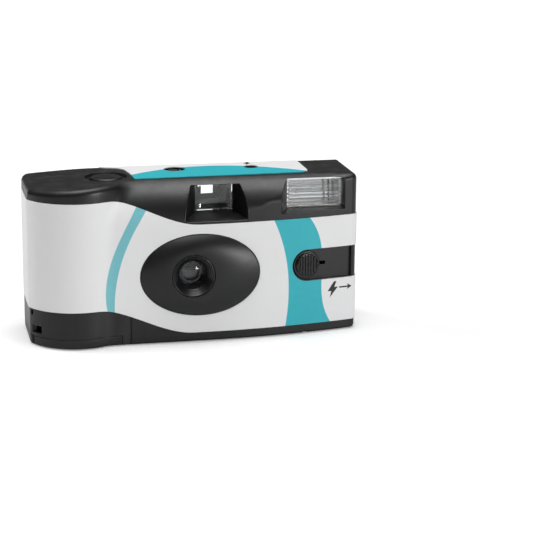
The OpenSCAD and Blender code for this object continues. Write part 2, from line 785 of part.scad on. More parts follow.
module shutter_blade() {
    p = [blade_x, blade_z];
    l = [lens_x, lens_z];
    tail = p + [-4.5, 2.5];
    color([0.1, 0.1, 0.1])
    facing(plate_y0 - 0.85, plate_y0 - 0.6)
    difference() {
        union() {
            translate(l)
            circle(2.8);
            bar(l, p, 2.4);
            translate(p)
            circle(1.7);
            bar(p, tail, 1.3);
            translate(tail)
            circle(0.75);
        }
        translate(p)
        circle(0.8 + run);
    }
}
module shutter_spring() {
    color(steel)
    along_y(blade_x, blade_z)
    translate([0, 0, plate_y0 - 2])
    coil(1.25, 0.14, 1.05, 2);
}
module hammer() {
    p = [hammer_x, hammer_z];
    tip = p + [13.9, -1];
    color([0.16, 0.16, 0.17])
    facing(plate_y0 - 0.9, plate_y0 - 0.2)
    difference() {
        union() {
            translate(p)
            circle(2);
            bar(p, tip, 1.4);
            translate(tip)
            circle(0.8);
            bar(p, p + [-4, -1.6], 1.6);
        }
        translate(p)
        circle(0.9 + run);
    }
}
module hammer_spring() {
    color(steel)
    along_y(hammer_x, hammer_z)
    translate([0, 0, plate_y0 - 2.2])
    coil(1.5, 0.16, 1.2, 2);
}

module deck_plan() {
    back = back_d - wall - fit;
    difference() {
        union() {
            intersection() {
                translate([grip_x, 0])
                circle(grip_r - wall - 0.9);
                translate([xl + wall + 0.6, -grip_r])
                square(2 * grip_r);
            }
            translate([grip_x, -10])
            square([dial_x - 3 - grip_x, 12]);
            translate([grip_x, -4])
            square([dial_x + dial_r - 0.6 - grip_x, back + 4]);
            translate([xl + wall + 0.6, 0])
            square([grip_x - xl, 12]);
        }
        translate([grip_x, 0])
        circle(6.2);
        // clear of the thumb scoop
        difference() {
            translate([grip_x - scoop_w - 1.7, 4])
            square([2 * scoop_w + 3.4, 20]);
            translate([grip_x, 0])
            circle(scoop_r - 1.6);
        }
    }
}
module chassis() {
    foot = wall + fit;
    gx0 = lens_x - gate_w / 2;
    gate_top = finder_z0 - tube_t - 0.4;
    back = back_d - wall - fit;
    sx0 = supply_x - supply_out;
    face = film_y - 0.05;
    color(inner_plastic)
    difference() {
        union() {
            // film gate, lens plate and the dark tunnel between them
            box(gx0 - 1.9, sx0 + 1.2, film_y - 1.5, face, foot, gate_top);
            box(lens_x - 16.6, lens_x + 16.4, plate_y0, plate_y0 + plate_t, lens_z - 10.2, lens_z + 16.4);
            funnel(plate_y0 + 0.2, [lens_x - 7, lens_x + 7, lens_z - 7, lens_z + 7],
                film_y - 0.1, [gx0 - 1.2, gx0 + gate_w + 1.2, lens_z - gate_h / 2 - 1.2,
                lens_z + gate_h / 2 + 1.2]);
            // cassette chamber, open to the back
            difference() {
                translate([grip_x, 0, door_h + 0.5])
                cylinder(r = can_r + 1.6, h = deck_z0 - door_h - 0.4);
                translate([grip_x, 0, 0])
                cylinder(r = can_r + 0.5, h = deck_z1);
                box(grip_x - 20, grip_x + 20, 8.6, 20, 0, deck_z0);
            }
            box(grip_x + can_r, gx0 - 1, 4.5, 6.5, door_h + 0.5, sprocket_z - 2.7);
            box(gx0 - 1.9, gx0 - 0.7, 4.5, face, foot, sprocket_z - 2.7);
            // foot bearing of the sprocket shaft
            box(sprocket_x - 2.2, gx0 - 0.7, 4.5, sprocket_y + 2.2, sprocket_z - 4.2, sprocket_z - 2.7);
            upright(deck_z0, deck_z1)
            deck_plan();
            // collar that carries the thumbwheel
            upright(deck_z1 - 0.1, wheel_z0 - 0.2)
            translate([grip_x, 0])
            difference() {
                circle(collar_r);
                circle(6.2);
            }
            translate([dial_x, dial_y, deck_z1 - 0.1]) {
                cylinder(r = 2.4, h = dial_z0 - deck_z1 - 0.1);
                cylinder(r = 1.5, h = dial_z1 - deck_z1 + 0.4);
            }
            translate([lever_x, lever_y, deck_z1 - 0.1])
            cylinder(r = 0.9, h = 1.7);
            translate([pawl_x, pawl_y, deck_z1 - 0.1])
            cylinder(r = 0.9, h = 3.6);
            // roll chamber, side deck and lamp post
            difference() {
                translate([supply_x, supply_y, foot])
                cylinder(r = supply_out, h = side_deck_z - foot + 0.1);
                translate([supply_x, supply_y, 0])
                cylinder(r = supply_in, h = side_deck_z + 1);
                box(supply_x - 20, supply_x + 20, supply_y + 5.4, back_d, 0, side_deck_z);
            }
            box(sx0, sx0 + 1.2, supply_y, face, foot, side_deck_z + 0.1);
            box(finder_x + finder_w / 2 + tube_t + 0.4, supply_x + 11, supply_y - 2.5, back,
                side_deck_z, side_deck_z + deck_t);
            translate([lamp_x, lamp_y, side_deck_z + 1])
            cylinder(r = 2.2, h = body_h - 7 - side_deck_z - 1);
            // shutter pins
            along_y(blade_x, blade_z)
            translate([0, 0, plate_y0 - 2.1])
            cylinder(r = 0.8, h = 2.4);
            along_y(hammer_x, hammer_z)
            translate([0, 0, plate_y0 - 2.3])
            cylinder(r = 0.9, h = 2.6);
        }
        funnel(plate_y0 + plate_t, [lens_x - 5.4, lens_x + 5.4, lens_z - 5.4, lens_z + 5.4],
            film_y + 0.4, [gx0, gx0 + gate_w, lens_z - gate_h / 2, lens_z + gate_h / 2]);
        along_y(lens_x, lens_z)
        translate([0, 0, plate_y0 - 1])
        cylinder(r = 3, h = 4);
        translate([sprocket_x, sprocket_y, sprocket_z - 1.4])
        cylinder(r = 6.6, h = 2.8);
        translate([sprocket_x, sprocket_y, sprocket_z - 1])
        cylinder(r = 1.6 + run, h = 30);
        translate([sprocket_x, sprocket_y, sprocket_z - 6])
        cylinder(r = 0.9 + run, h = 8);
        translate([supply_x, supply_y, side_deck_z - 1])
        cylinder(r = 2.1 + run, h = 4);
    }
}

module thumbwheel() {
    n = wheel_teeth;
    color(plastic)
    translate([grip_x, 0, 0]) {
        difference() {
            upright(wheel_z0, wheel_z1)
            polygon([for (i = [0:4 * n - 1]) let (a = i * 90 / n, r = wheel_r - (i % 4 < 2 ? 0 : 0.7))
                [r * cos(a), r * sin(a)]]);
            upright(wheel_z1 - 1.2, wheel_z1 + 1)
            difference() {
                circle(wheel_r - 2);
                circle(4.6);
            }
        }
        upright(deck_z1 + 0.3, wheel_z0 + 0.1)
        difference() {
            circle(collar_r + 1.2);
            circle(collar_r + run);
        }
        // fork that turns the cassette spool
        box(-3.6, 3.6, -0.8, 0.8, can_z1 - 1, wheel_z0 + 0.1);
    }
}
module sprocket_shaft() {
    color(inner_plastic)
    translate([sprocket_x, sprocket_y, 0]) {
        translate([0, 0, sprocket_z - 4])
        cylinder(r = 0.9, h = 3);
        upright(sprocket_z - 2.5, dial_z1 + 0.2)
        circle(1.6);
        upright(sprocket_z - 0.8, sprocket_z + 0.8) {
            circle(5.6);
            for (i = [0:7])
                rotate(i * 45)
                translate([0, -0.8])
                square([6, 1.6]);
        }
        upright(deck_z1 + 0.3, deck_z1 + 1.3)
        difference() {
            circle(cam_r);
            rotate(-140)
            translate([cam_r - 0.8, -0.9])
            square([2, 1.8]);
        }
        // single tooth that steps the counter dial
        upright(dial_z0 + 0.1, dial_z1)
        translate([0, -0.5])
        square([2.45, 1]);
    }
}
module counter_dial() {
    n = dial_teeth;
    color(inner_plastic)
    translate([dial_x, dial_y, 0])
    upright(dial_z0, dial_z1)
    difference() {
        polygon([for (i = [0:4 * n - 1]) let (a = i * 90 / n, r = dial_r - (i % 4 < 2 ? 0 : 0.8))
            [r * cos(a), r * sin(a)]]);
        circle(1.5 + run);
    }
}
module metering_lever() {
    p = [lever_x, lever_y];
    d = p - [sprocket_x, sprocket_y];
    tip = [sprocket_x, sprocket_y] + d * (cam_r + fit + 0.8) / norm(d);
    back = p + [-5.6, -1.5];
    color(inner_plastic)
    upright(deck_z1 + 0.3, deck_z1 + 1.1)
    difference() {
        union() {
            translate(p)
            circle(1.8);
            bar(p, tip, 1.4);
            translate(tip)
            circle(0.8);
            bar(p, back, 1.4);
            translate(back)
            circle(0.8);
        }
        translate(p)
        circle(0.9 + run);
    }
}
module pawl() {
    p = [pawl_x, pawl_y];
    d = wheel_r + fit + 0.5;
    tip = [grip_x + d * cos(28), -d * sin(28)];
    color(inner_plastic)
    upright(wheel_z0 + 0.4, wheel_z0 + 1.8)
    difference() {
        union() {
            translate(p)
            circle(1.7);
            bar(p, tip, 0.8);
            translate(tip)
            circle(0.5);
        }
        translate(p)
        circle(0.9 + run);
    }
}

lip_x = grip_x + 10.8;
slot_film = 11.4;
module cassette_shell() {
    color([0.78, 0.78, 0.76])
    difference() {
        union() {
            translate([grip_x, 0, can_z0 + 1.2])
            cylinder(r = can_r - 0.1, h = can_h - 2.4);
            box(grip_x + 5, lip_x, 10.2, 12.4, film_z0 - 0.5, film_z1 + 0.5);
        }
        translate([grip_x, 0, 0])
        cylinder(r = can_r - 0.5, h = body_h);
        box(grip_x + 2, lip_x + 1, slot_film - 0.5, slot_film + 0.5, film_z0 - 0.2, film_z1 + 0.2);
    }
}
module cassette_caps() {
    color([0.2, 0.2, 0.21])
    for (z = [can_z0, can_z1 - 1.2])
        upright(z, z + 1.2)
        translate([grip_x, 0])
        difference() {
            circle(can_r);
            circle(5.5 + run);
        }
}
module light_trap() {
    color([0.06, 0.06, 0.07])
    for (y = [slot_film - 0.48, slot_film + 0.16])
        box(grip_x + 5.4, lip_x - 0.2, y, y + 0.32, film_z0 - 0.18, film_z1 + 0.18);
}
module cassette_spool() {
    color([0.12, 0.12, 0.12])
    translate([grip_x, 0, 0])
    difference() {
        upright(can_z0 + 0.2, can_z1 + 3)
        circle(5.5);
        upright(can_z1 - 4, can_z1 + 4)
        circle(4);
    }
}
module film_strip() {
    x1 = sprocket_x - 2.2;
    h = film_t / 2;
    path = concat([[grip_x + 5.6, slot_film]],
        [for (i = [0:12]) let (u = i / 12)
            [lerp(lip_x, x1, u), lerp(slot_film, film_y + h, ease(u))]],
        [[supply_x, film_y + h]]);
    n = len(path);
    first = sprocket_x;
    color([0.32, 0.22, 0.18])
    difference() {
        upright(film_z0, film_z1)
        polygon(concat([for (p = path) p - [0, h]],
            [for (i = [1:n]) path[n - i] + [0, h]]));
        for (i = [0:11])
            for (z = [film_z0 + 2.8, film_z1 - 2.8])
                box(first + i * 4.75 - 1, first + i * 4.75 + 1, film_y - 1, film_y + 1, z - 1.4, z + 1.4);
    }
}
module film_roll() {
    color([0.36, 0.26, 0.2])
    upright(film_z0, film_z1)
    translate([supply_x, supply_y])
    difference() {
        circle(roll_r);
        circle(4.42);
    }
}
module supply_spool() {
    color([0.12, 0.12, 0.12])
    translate([supply_x, supply_y, 0]) {
        upright(wall + fit, side_deck_z + 1.2)
        circle(2.1);
        upright(film_z0 - 1.2, film_z1 + 1.2)
        circle(4.4);
        for (z = [film_z0 - 1.2, film_z1 + 0.2])
            upright(z, z + 1)
            circle(roll_r + 0.1);
    }
}

mirror_y0 = flash_y + flash_t + 0.25;
mirror_y1 = supply_y - 3;
mirror_z = (flash_z0 + flash_z1) / 2;
tube_y = mirror_y1 - 2.6;
// parabola of the reflector, moved in by t
function bowl(t) = [for (i = [-10:10]) let (h = flash_h / 2 - 0.3 - t, u = i / 10)
    [mirror_y1 - t - (mirror_y1 - t - mirror_y0) * u * u, mirror_z + h * u]];
module flash_reflector() {
    inner = bowl(0.5);
    n = len(inner);
    x0 = flash_x0 + 0.2;
    x1 = flash_x1 - 0.2;
    color(steel) {
        lengthwise(x0, x1)
        polygon(concat(bowl(0), [for (i = [1:n]) inner[n - i]]));
        for (x = [x0, x1 - 0.5])
            lengthwise(x, x + 0.5)
            difference() {
                polygon(bowl(0));
                translate([tube_y, mirror_z])
                circle(1.6);
            }
    }
}
module flash_tube() {
    color(clear)
    lengthwise(flash_x0 - 1.4, flash_x1 + 1.4)
    translate([tube_y, mirror_z])
    circle(1.45);
}
module tube_electrodes() {
    color(steel)
    for (x = [flash_x0 - 2.6, flash_x1 + 1.42])
        lengthwise(x, x + 1.18)
        translate([tube_y, mirror_z])
        circle(1.2);
}
module circuit_board() {
    color([0.55, 0.42, 0.24])
    box(board_x0, board_x1, board_y0, board_y1, wall + fit, board_z1);
}
module flash_capacitor() {
    x = xr - 8.6;
    y = board_y1 + 0.3 + cap_r;
    z = wall + 2.5;
    color([0.1, 0.12, 0.16])
    translate([x, y, z]) {
        cylinder(r = cap_r, h = cap_l);
        for (s = [-2.4, 2.4])
            translate([s, 0, cap_l - 0.1])
            cylinder(r = 0.4, h = 2);
    }
}
module transformer() {
    x = board_x0 + 0.5;
    y = board_y0 - 0.05;
    z = lens_z + 5.4;
    // depth over both flanges, or less where the front comes in
    d = min(5.4, y - fit - front_in(x + 7.4));
    color([0.75, 0.62, 0.2]) {
        box(x, x + 7.4, y - 1.2, y, z, z + 8);
        box(x, x + 7.4, y - d, y - d + 1.2, z, z + 8);
        box(x + 1.4, x + 6, y - d + 1.1, y - 1.1, z + 1.4, z + 6.6);
    }
}
module trigger_coil() {
    x = board_x0 + 4;
    r = min(2.3, (board_y0 - 0.1 - fit - front_in(x)) / 2);
    color([0.5, 0.28, 0.12])
    translate([x, board_y0 - 0.1 - r, lens_z - 10]) {
        cylinder(r = r, h = 9);
        cylinder(r = 0.8, h = 11);
    }
}
module ready_lamp() {
    z = body_h - 6.9;
    color([0.85, 0.3, 0.12])
    translate([lamp_x, lamp_y, z])
    rotate_extrude()
    polygon(concat([[0, 0], [2.2, 0], [2.2, 0.8], [1.9, 0.8], [1.9, 4.4]],
        [for (i = [1:8]) [1.9 * cos(90 * i / 8), 4.4 + 1.9 * sin(90 * i / 8)]]));
}
module sync_contact() {
    z = lens_z + 13.8;
    color(brass) {
        box(lens_x + 11.6, board_x0 + 0.8, plate_y0 - 0.6, plate_y0 - 0.3, z, z + 1.6);
        box(board_x0 + 0.5, board_x0 + 0.8, plate_y0 - 0.5, board_y0 - 0.04, z, z + 1.6);
    }
}
module battery_cell() {
    color([0.25, 0.3, 0.36])
    lengthwise(cell_x0, cell_x1 - 1)
    translate([cell_y, cell_z])
    circle(cell_r);
    color(steel)
    lengthwise(cell_x1 - 1.1, cell_x1)
    translate([cell_y, cell_z])
    circle(1.9);
}
module positive_contact() {
    x = cell_x1 + 0.05;
    color(brass)
    box(x, x + 0.4, cell_y - 4, cell_y + 4, wall + fit, cell_z + 4.4);
}
module negative_contact() {
    x = cell_x0 - 2.2;
    color(brass) {
        box(x, x + 0.4, cell_y - 4, cell_y + 4, wall + fit, cell_z + 4.4);
        translate([x + 0.3, cell_y, cell_z])
        rotate([0, 90, 0])
        coil(2.6, 0.25, 1.85, 2);
    }
}

front_cover();
rear_cover();
film_door();
front_label();
top_label();
release_button();
release_spring();
flash_slider();
slider_contact();
counter_window();
flash_window();
finder_front_lens();
finder_rear_lens();
finder_tube();
lens_ring();
taking_lens();
lens_retainer();
aperture_plate();
shutter_blade();
shutter_spring();
hammer();
hammer_spring();
chassis();
thumbwheel();
sprocket_shaft();
counter_dial();
metering_lever();
pawl();
cassette_shell();
cassette_caps();
light_trap();
cassette_spool();
film_strip();
film_roll();
supply_spool();
flash_reflector();
flash_tube();
tube_electrodes();
circuit_board();
flash_capacitor();
transformer();
trigger_coil();
ready_lamp();
sync_contact();
battery_cell();
positive_contact();
negative_contact();
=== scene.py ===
"""Looks of a disposable film camera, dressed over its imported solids."""

import json
import math

import bmesh
import bpy
from bpy.props import FloatProperty, FloatVectorProperty, PointerProperty
from mathutils import Matrix, Vector
from mathutils.bvhtree import BVHTree

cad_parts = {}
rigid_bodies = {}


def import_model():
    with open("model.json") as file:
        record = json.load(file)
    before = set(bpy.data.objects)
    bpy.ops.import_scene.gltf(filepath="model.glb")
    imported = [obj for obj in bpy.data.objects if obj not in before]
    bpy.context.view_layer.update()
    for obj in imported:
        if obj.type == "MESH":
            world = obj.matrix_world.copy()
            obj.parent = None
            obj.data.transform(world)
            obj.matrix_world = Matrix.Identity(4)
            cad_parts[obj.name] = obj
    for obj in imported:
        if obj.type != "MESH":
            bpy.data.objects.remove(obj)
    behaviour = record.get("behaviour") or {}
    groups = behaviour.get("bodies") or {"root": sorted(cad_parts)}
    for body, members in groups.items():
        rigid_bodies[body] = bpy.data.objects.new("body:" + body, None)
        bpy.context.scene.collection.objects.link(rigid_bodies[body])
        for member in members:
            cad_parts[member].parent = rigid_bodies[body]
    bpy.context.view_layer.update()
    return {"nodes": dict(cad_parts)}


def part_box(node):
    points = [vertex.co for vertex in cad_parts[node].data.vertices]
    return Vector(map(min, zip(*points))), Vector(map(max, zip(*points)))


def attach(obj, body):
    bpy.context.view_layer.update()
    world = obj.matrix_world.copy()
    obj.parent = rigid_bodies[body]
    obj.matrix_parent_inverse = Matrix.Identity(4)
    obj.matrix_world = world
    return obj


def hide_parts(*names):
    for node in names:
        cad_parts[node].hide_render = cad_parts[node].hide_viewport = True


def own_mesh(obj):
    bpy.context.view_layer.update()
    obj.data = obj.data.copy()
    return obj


bl_info = {
    "name": "Disposable Film Camera",
    "version": (1, 0, 0),
    "blender": (4, 5, 0),
    "location": "3D View > Sidebar > Film Camera",
    "description": "Dresses the solids of a disposable film camera and sets it on a stage",
    "category": "Object",
}

for leftover in list(bpy.data.objects):
    bpy.data.objects.remove(leftover)
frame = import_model()
MM = 0.001

# The view: degrees to the right and down from +Y, a slight roll, its place in metres and its film's width.
VIEW_TURN, VIEW_FALL, VIEW_ROLL = 12.6, 14.7, 0.5
VIEW_PLACE = (-0.11086, -0.61933, 0.18835)
VIEW_CLIP = (0.01, 50.0)
FILM_WIDTH = 36.0

# The lamps: the setting with the power, the place, the width and height, and whether gloss shows it.
LAMPS = (
    ("key", (0.72, -0.95, 0.13), (0.26, 0.22), True),
    ("side", (-0.85, 0.42, 0.62), (0.6, 0.6), False),
    ("top", (0.05, -0.10, 1.10), (0.8, 0.7), True),
)
LAMP_AIM = (0.0, 0.0, 0.03)

# The floor: radii of its rings, corners of each, and how far it lies below the foot.
FLOOR_RINGS = (0.25, 1.0, 4.0)
FLOOR_CORNERS = 96
FLOOR_DROP = 0.2 * MM
# How its white glow grows with the distance in metres: from, to, least and most.
FLOOR_SEEN = (0.06, 1.0, 0.28, 1.0)
FLOOR_GLOSS = (0.12, 1.3, 0.0, 1.0)
# Height of a direction at which gloss begins to see the white surroundings, and sees them in full.
SKY_GLOSS = (0.55, 0.90)

# Edges of the front stripes: X as a curve of the third degree in Z, in millimetres, constant first.
NARROW_STRIPE = ((-26.189792, -0.806589, 0.026557, -0.000171), (-28.024205, -0.275224, 0.009872, 0.0))
BROAD_STRIPE = ((30.746696, 0.199651, -0.004794, -0.000048), (51.263654, -0.902551, 0.042125, -0.000635))
NARROW_INK = 0.80
# Rear edge of the top stripe: Y as such a curve in X.
TOP_ARC = (10.913, 0.19684, -0.01301, 0.0)

# Outline of a bolt one unit high, round its middle.
BOLT = [(0.08, 0.5), (-0.34, -0.10), (-0.09, -0.10), (-0.19, -0.5), (0.34, 0.14), (0.10, 0.14), (0.23, 0.5)]
# The bolt behind the lamp: its middle from the lamp's, and its width as a share of the front bolt's form.
SMALL_BOLT_SHIFT = (-0.2 * MM, 5.7 * MM)
SMALL_BOLT_WIDTH = 0.95

PRINT_RISE, PRINT_SINK = 0.02 * MM, 0.002 * MM
DIGIT_RISE = 0.012 * MM
DIGIT_DOT = 0.22 * MM
COUNTER_STEPS = 28

WHITE = (1.0, 1.0, 1.0, 1.0)
PLASTIC_DUST = (0.42, 0.41, 0.39, 1.0)
CARD_DUST = (0.55, 0.54, 0.52, 1.0)
CARD_SCUFF = (0.62, 0.62, 0.61, 1.0)
METAL_EDGE, CLEAR_EDGE, CARD_EDGE = 0.05 * MM, 0.10 * MM, 0.08 * MM
# Rings of a turned mould and flutes of the flash window: their height against the texture's own.
RING_PITCH, RING_RISE = 0.62 * MM, 2.2
FLUTE_PITCH, FLUTE_RISE = 1.5 * MM, 4.0
# Sockets of the Mix node when it mixes colours.
MIX_SHARE, MIX_A, MIX_B, MIX_RESULT = 0, 6, 7, 2


def colour_setting(name, description, rgb):
    """A colour that a user would change."""
    return FloatVectorProperty(
        name=name, description=description, subtype="COLOR", size=3, min=0.0, max=1.0, default=rgb
    )


def length_setting(name, description, metres):
    """A length that a user would change."""
    return FloatProperty(
        name=name, description=description, subtype="DISTANCE", unit="LENGTH", min=0.0, default=metres
    )


def power_setting(name, description, watts):
    """A lamp's power that a user would change."""
    return FloatProperty(name=name, description=description, unit="POWER", default=watts)


class FilmCameraFinish(bpy.types.PropertyGroup):
    """Colours and surface detail of the moulded, printed and clear pieces."""

    shell: colour_setting("Shell", "Black plastic of both covers and the door", (0.0060, 0.0060, 0.0063))
    inner: colour_setting("Inner parts", "Dark plastic of the works inside", (0.016, 0.016, 0.017))
    card: colour_setting("Card", "Unprinted card of the labels", (0.80, 0.80, 0.805))
    ink: colour_setting("Ink", "Stripes on the labels", (0.022, 0.43, 0.50))
    sign: colour_setting("Signs", "Bolts and arrow on the labels", (0.012, 0.012, 0.013))
    lamp: colour_setting("Lamp", "Flash ready lamp", (0.50, 0.055, 0.03))
    grain: length_setting("Grain", "Size of one grain of the moulded texture", 0.18 * MM)
    edge: length_setting("Edge", "Radius that light catches on moulded edges", 0.26 * MM)
    wear: FloatProperty(
        name="Wear", description="Paling along moulded edges", subtype="FACTOR", min=0, max=1, default=0.35
    )
    dust: FloatProperty(
        name="Dust", description="Dust on upward faces", subtype="FACTOR", min=0, max=1, default=0.05
    )


class FilmCameraPrint(bpy.types.PropertyGroup):
    """Where the signs stand on the labels, in the part's frame, and how large the print is."""

    bolt_x: length_setting("Bolt across", "Middle of the front bolt from the middle plane", 49.4 * MM)
    bolt_z: length_setting("Bolt height", "Middle of the front bolt from the foot", 15.35 * MM)
    bolt_size: length_setting("Bolt size", "Height of the front bolt", 5.9 * MM)
    arrow_x: length_setting("Arrow across", "Tail of the arrow from the middle plane", 51.9 * MM)
    arrow_z: length_setting("Arrow height", "Height of the arrow from the foot", 15.9 * MM)
    arrow_size: length_setting("Arrow size", "Length of the arrow", 4.9 * MM)
    small_bolt: length_setting("Small bolt", "Height of the bolt behind the lamp", 4.8 * MM)
    digit: length_setting("Digits", "Height of the counter's digits", 1.9 * MM)


class FilmCameraStage(bpy.types.PropertyGroup):
    """Floor, light and viewpoint."""

    floor: colour_setting("Floor", "Floor under the camera", (0.80, 0.80, 0.80))
    key: power_setting("Key", "Power of the lamp at the right", 5.5)
    side: power_setting("Side", "Power of the lamp behind the left end", 6.6)
    top: power_setting("Top", "Power of the lamp overhead", 10.0)
    ambient: FloatProperty(name="Ambient", description="Light from all round", default=0.10)
    lens: FloatProperty(name="Lens", description="Focal length of the view", unit="CAMERA", default=122.6)


def opaque(rgb):
    """A colour with full alpha."""
    return (*rgb, 1.0)


def shade(rgb, share):
    """A colour made darker or lighter by a share."""
    return [min(1.0, share * c) for c in rgb]


def spread(a, b, steps):
    """Values from a to b in even steps."""
    return [a + (b - a) * k / steps for k in range(steps + 1)]


def feed(tree, socket, value):
    """Links a socket to another one or sets its plain value; None leaves it as it is."""
    if isinstance(value, bpy.types.NodeSocket):
        tree.links.new(value, socket)
    elif value is not None:
        socket.default_value = value


def add(tree, kind, *values, **settings):
    """A new node with its settings, and its inputs fed in order."""
    node = tree.nodes.new(kind)
    for key, value in settings.items():
        setattr(node, key, value)
    for i, value in enumerate(values):
        feed(tree, node.inputs[i], value)
    return node


def calc(tree, operation, *values, clamp=False):
    """Result of one sum on the surface."""
    return add(tree, "ShaderNodeMath", *values, operation=operation, use_clamp=clamp).outputs[0]


def weighed(tree, a, share_a, b, share_b):
    """Two values added by their shares."""
    return calc(tree, "ADD", calc(tree, "MULTIPLY", a, share_a), calc(tree, "MULTIPLY", b, share_b))


def ramp(tree, value, a, b, lo=0.0, hi=1.0):
    """The value's range a to b spread smoothly over lo to hi."""
    return add(
        tree, "ShaderNodeMapRange", value, a, b, lo, hi, interpolation_type="SMOOTHSTEP"
    ).outputs[0]


def blend(tree, share, a, b):
    """Colour a turning into colour b by share."""
    node = add(tree, "ShaderNodeMix", data_type="RGBA")
    for i, value in ((MIX_SHARE, share), (MIX_A, a), (MIX_B, b)):
        feed(tree, node.inputs[i], value)
    return node.outputs[MIX_RESULT]


def noise(tree, at, scale, detail=2.0, rough=0.5):
    """Soft noise, about 0 to 1."""
    node = add(tree, "ShaderNodeTexNoise", at)
    for name, value in (("Scale", scale), ("Detail", detail), ("Roughness", rough)):
        feed(tree, node.inputs[name], value)
    return node.outputs[0]


def place(tree):
    """Point on the piece, in the part's frame."""
    return tree.nodes.new("ShaderNodeTexCoord").outputs["Object"]


def millimetres(tree):
    """The point's three measures in millimetres."""
    scaled = add(tree, "ShaderNodeVectorMath", place(tree), (1000.0,) * 3, operation="MULTIPLY").outputs[0]
    return add(tree, "ShaderNodeSeparateXYZ", scaled).outputs


def stretched(tree, at, scale, turn=None):
    """The point turned and stretched, for a texture that runs one way."""
    return add(tree, "ShaderNodeMapping", at, None, turn, scale).outputs[0]


def new_group(name, inputs, outputs):
    """An empty effect with its named inputs and outputs."""
    group = bpy.data.node_groups.new(name, "ShaderNodeTree")
    for title, default in inputs:
        socket = group.interface.new_socket(title, in_out="INPUT", socket_type="NodeSocketFloat")
        socket.default_value = default
    for title, kind in outputs:
        group.interface.new_socket(title, in_out="OUTPUT", socket_type=kind)
    return group, group.nodes.new("NodeGroupInput"), group.nodes.new("NodeGroupOutput")


def moulded_grain():
    """Fine pitted texture of a spark-eroded mould, with slow patches of tone."""
    g, src, out = new_group(
        "Moulded Grain",
        [("Grain", 6000.0), ("Patches", 90.0)],
        [("Height", "NodeSocketFloat"), ("Tone", "NodeSocketFloat")],
    )
    at = place(g)
    cells = add(g, "ShaderNodeTexVoronoi", at)
    g.links.new(src.outputs["Grain"], cells.inputs["Scale"])
    fine = noise(g, at, src.outputs["Grain"], 3.0, 0.6)
    pits = calc(g, "MULTIPLY", cells.outputs["Distance"], 0.55)
    g.links.new(calc(g, "ADD", pits, fine), out.inputs["Height"])
    slow = noise(g, at, src.outputs["Patches"], 4.0, 0.55)
    specks = ramp(g, fine, 0.35, 0.75)
    g.links.new(weighed(g, slow, 0.7, specks, 0.3), out.inputs["Tone"])
    return g


def soft_edges():
    """Rounded normal of a moulded edge, and where handling has paled it."""
    g, src, out = new_group(
        "Soft Edges",
        [("Radius", 0.16 * MM), ("Breakup", 700.0)],
        [("Normal", "NodeSocketVector"), ("Wear", "NodeSocketFloat")],
    )
    bevel = add(g, "ShaderNodeBevel", src.outputs["Radius"], samples=6)
    flat = g.nodes.new("ShaderNodeNewGeometry").outputs["Normal"]
    near = add(g, "ShaderNodeVectorMath", bevel.outputs[0], flat, operation="DOT_PRODUCT").outputs["Value"]
    edge = ramp(g, near, 0.995, 0.86)
    patchy = ramp(g, noise(g, place(g), src.outputs["Breakup"], 3.0), 0.40, 0.68)
    g.links.new(bevel.outputs[0], out.inputs["Normal"])
    g.links.new(calc(g, "MULTIPLY", edge, patchy), out.inputs["Wear"])
    return g


def settled_dust():
    """Specks and film of dust on faces that look up."""
    g, src, out = new_group("Settled Dust", [("Amount", 0.1)], [("Mask", "NodeSocketFloat")])
    at = place(g)
    normal = g.nodes.new("ShaderNodeNewGeometry").outputs["Normal"]
    up = add(g, "ShaderNodeSeparateXYZ", normal).outputs[2]
    patchy = ramp(g, noise(g, at, 260.0, 5.0, 0.65), 0.35, 0.75)
    film = calc(g, "MULTIPLY", ramp(g, up, 0.35, 0.95), patchy)
    speck = ramp(g, noise(g, at, 3800.0, 1.0), 0.69, 0.76)
    both = calc(g, "ADD", film, calc(g, "MULTIPLY", speck, 0.6))
    g.links.new(calc(g, "MULTIPLY", both, src.outputs["Amount"], clamp=True), out.inputs["Mask"])
    return g


def handling_marks():
    """Smudges and hair scratches, as a share of gloss lost."""
    g, src, out = new_group("Handling Marks", [("Smudge", 55.0)], [("Dull", "NodeSocketFloat")])
    at = place(g)
    smudge = ramp(g, noise(g, at, src.outputs["Smudge"], 5.0, 0.6), 0.3, 0.75)
    long = stretched(g, at, (900.0, 40.0, 160.0), (0.3, 0.5, 0.8))
    hair = ramp(g, noise(g, long, 1.0, 2.0), 0.66, 0.72)
    g.links.new(weighed(g, smudge, 0.7, hair, 0.3), out.inputs["Dull"])
    return g


def curved_edge():
    """Where Across lies beyond a curve of the third degree in Along, all in millimetres."""
    g, src, out = new_group(
        "Curved Edge",
        [("Along", 0.0), ("Across", 0.0), ("C0", 0.0), ("C1", 0.0), ("C2", 0.0), ("C3", 0.0)],
        [("Beyond", "NodeSocketFloat")],
    )
    run = src.outputs["Along"]
    line = src.outputs["C3"]
    for name in ("C2", "C1", "C0"):
        line = calc(g, "MULTIPLY_ADD", line, run, src.outputs[name])
    past = calc(g, "SUBTRACT", src.outputs["Across"], line)
    g.links.new(ramp(g, past, -0.05, 0.05), out.inputs["Beyond"])
    return g


def card_fibre():
    """Fibres of coated card and a slight mottle of its print."""
    g, src, out = new_group(
        "Card Fibre", [("Fibre", 2600.0)], [("Height", "NodeSocketFloat"), ("Tone", "NodeSocketFloat")]
    )
    at = place(g)
    long = stretched(g, at, (1.0, 1.0, 0.35), (0.2, 0.0, 0.4))
    fibre = noise(g, long, src.outputs["Fibre"], 4.0, 0.6)
    g.links.new(fibre, out.inputs["Height"])
    mottle = noise(g, at, 420.0, 3.0)
    g.links.new(weighed(g, fibre, 0.4, mottle, 0.6), out.inputs["Tone"])
    return g


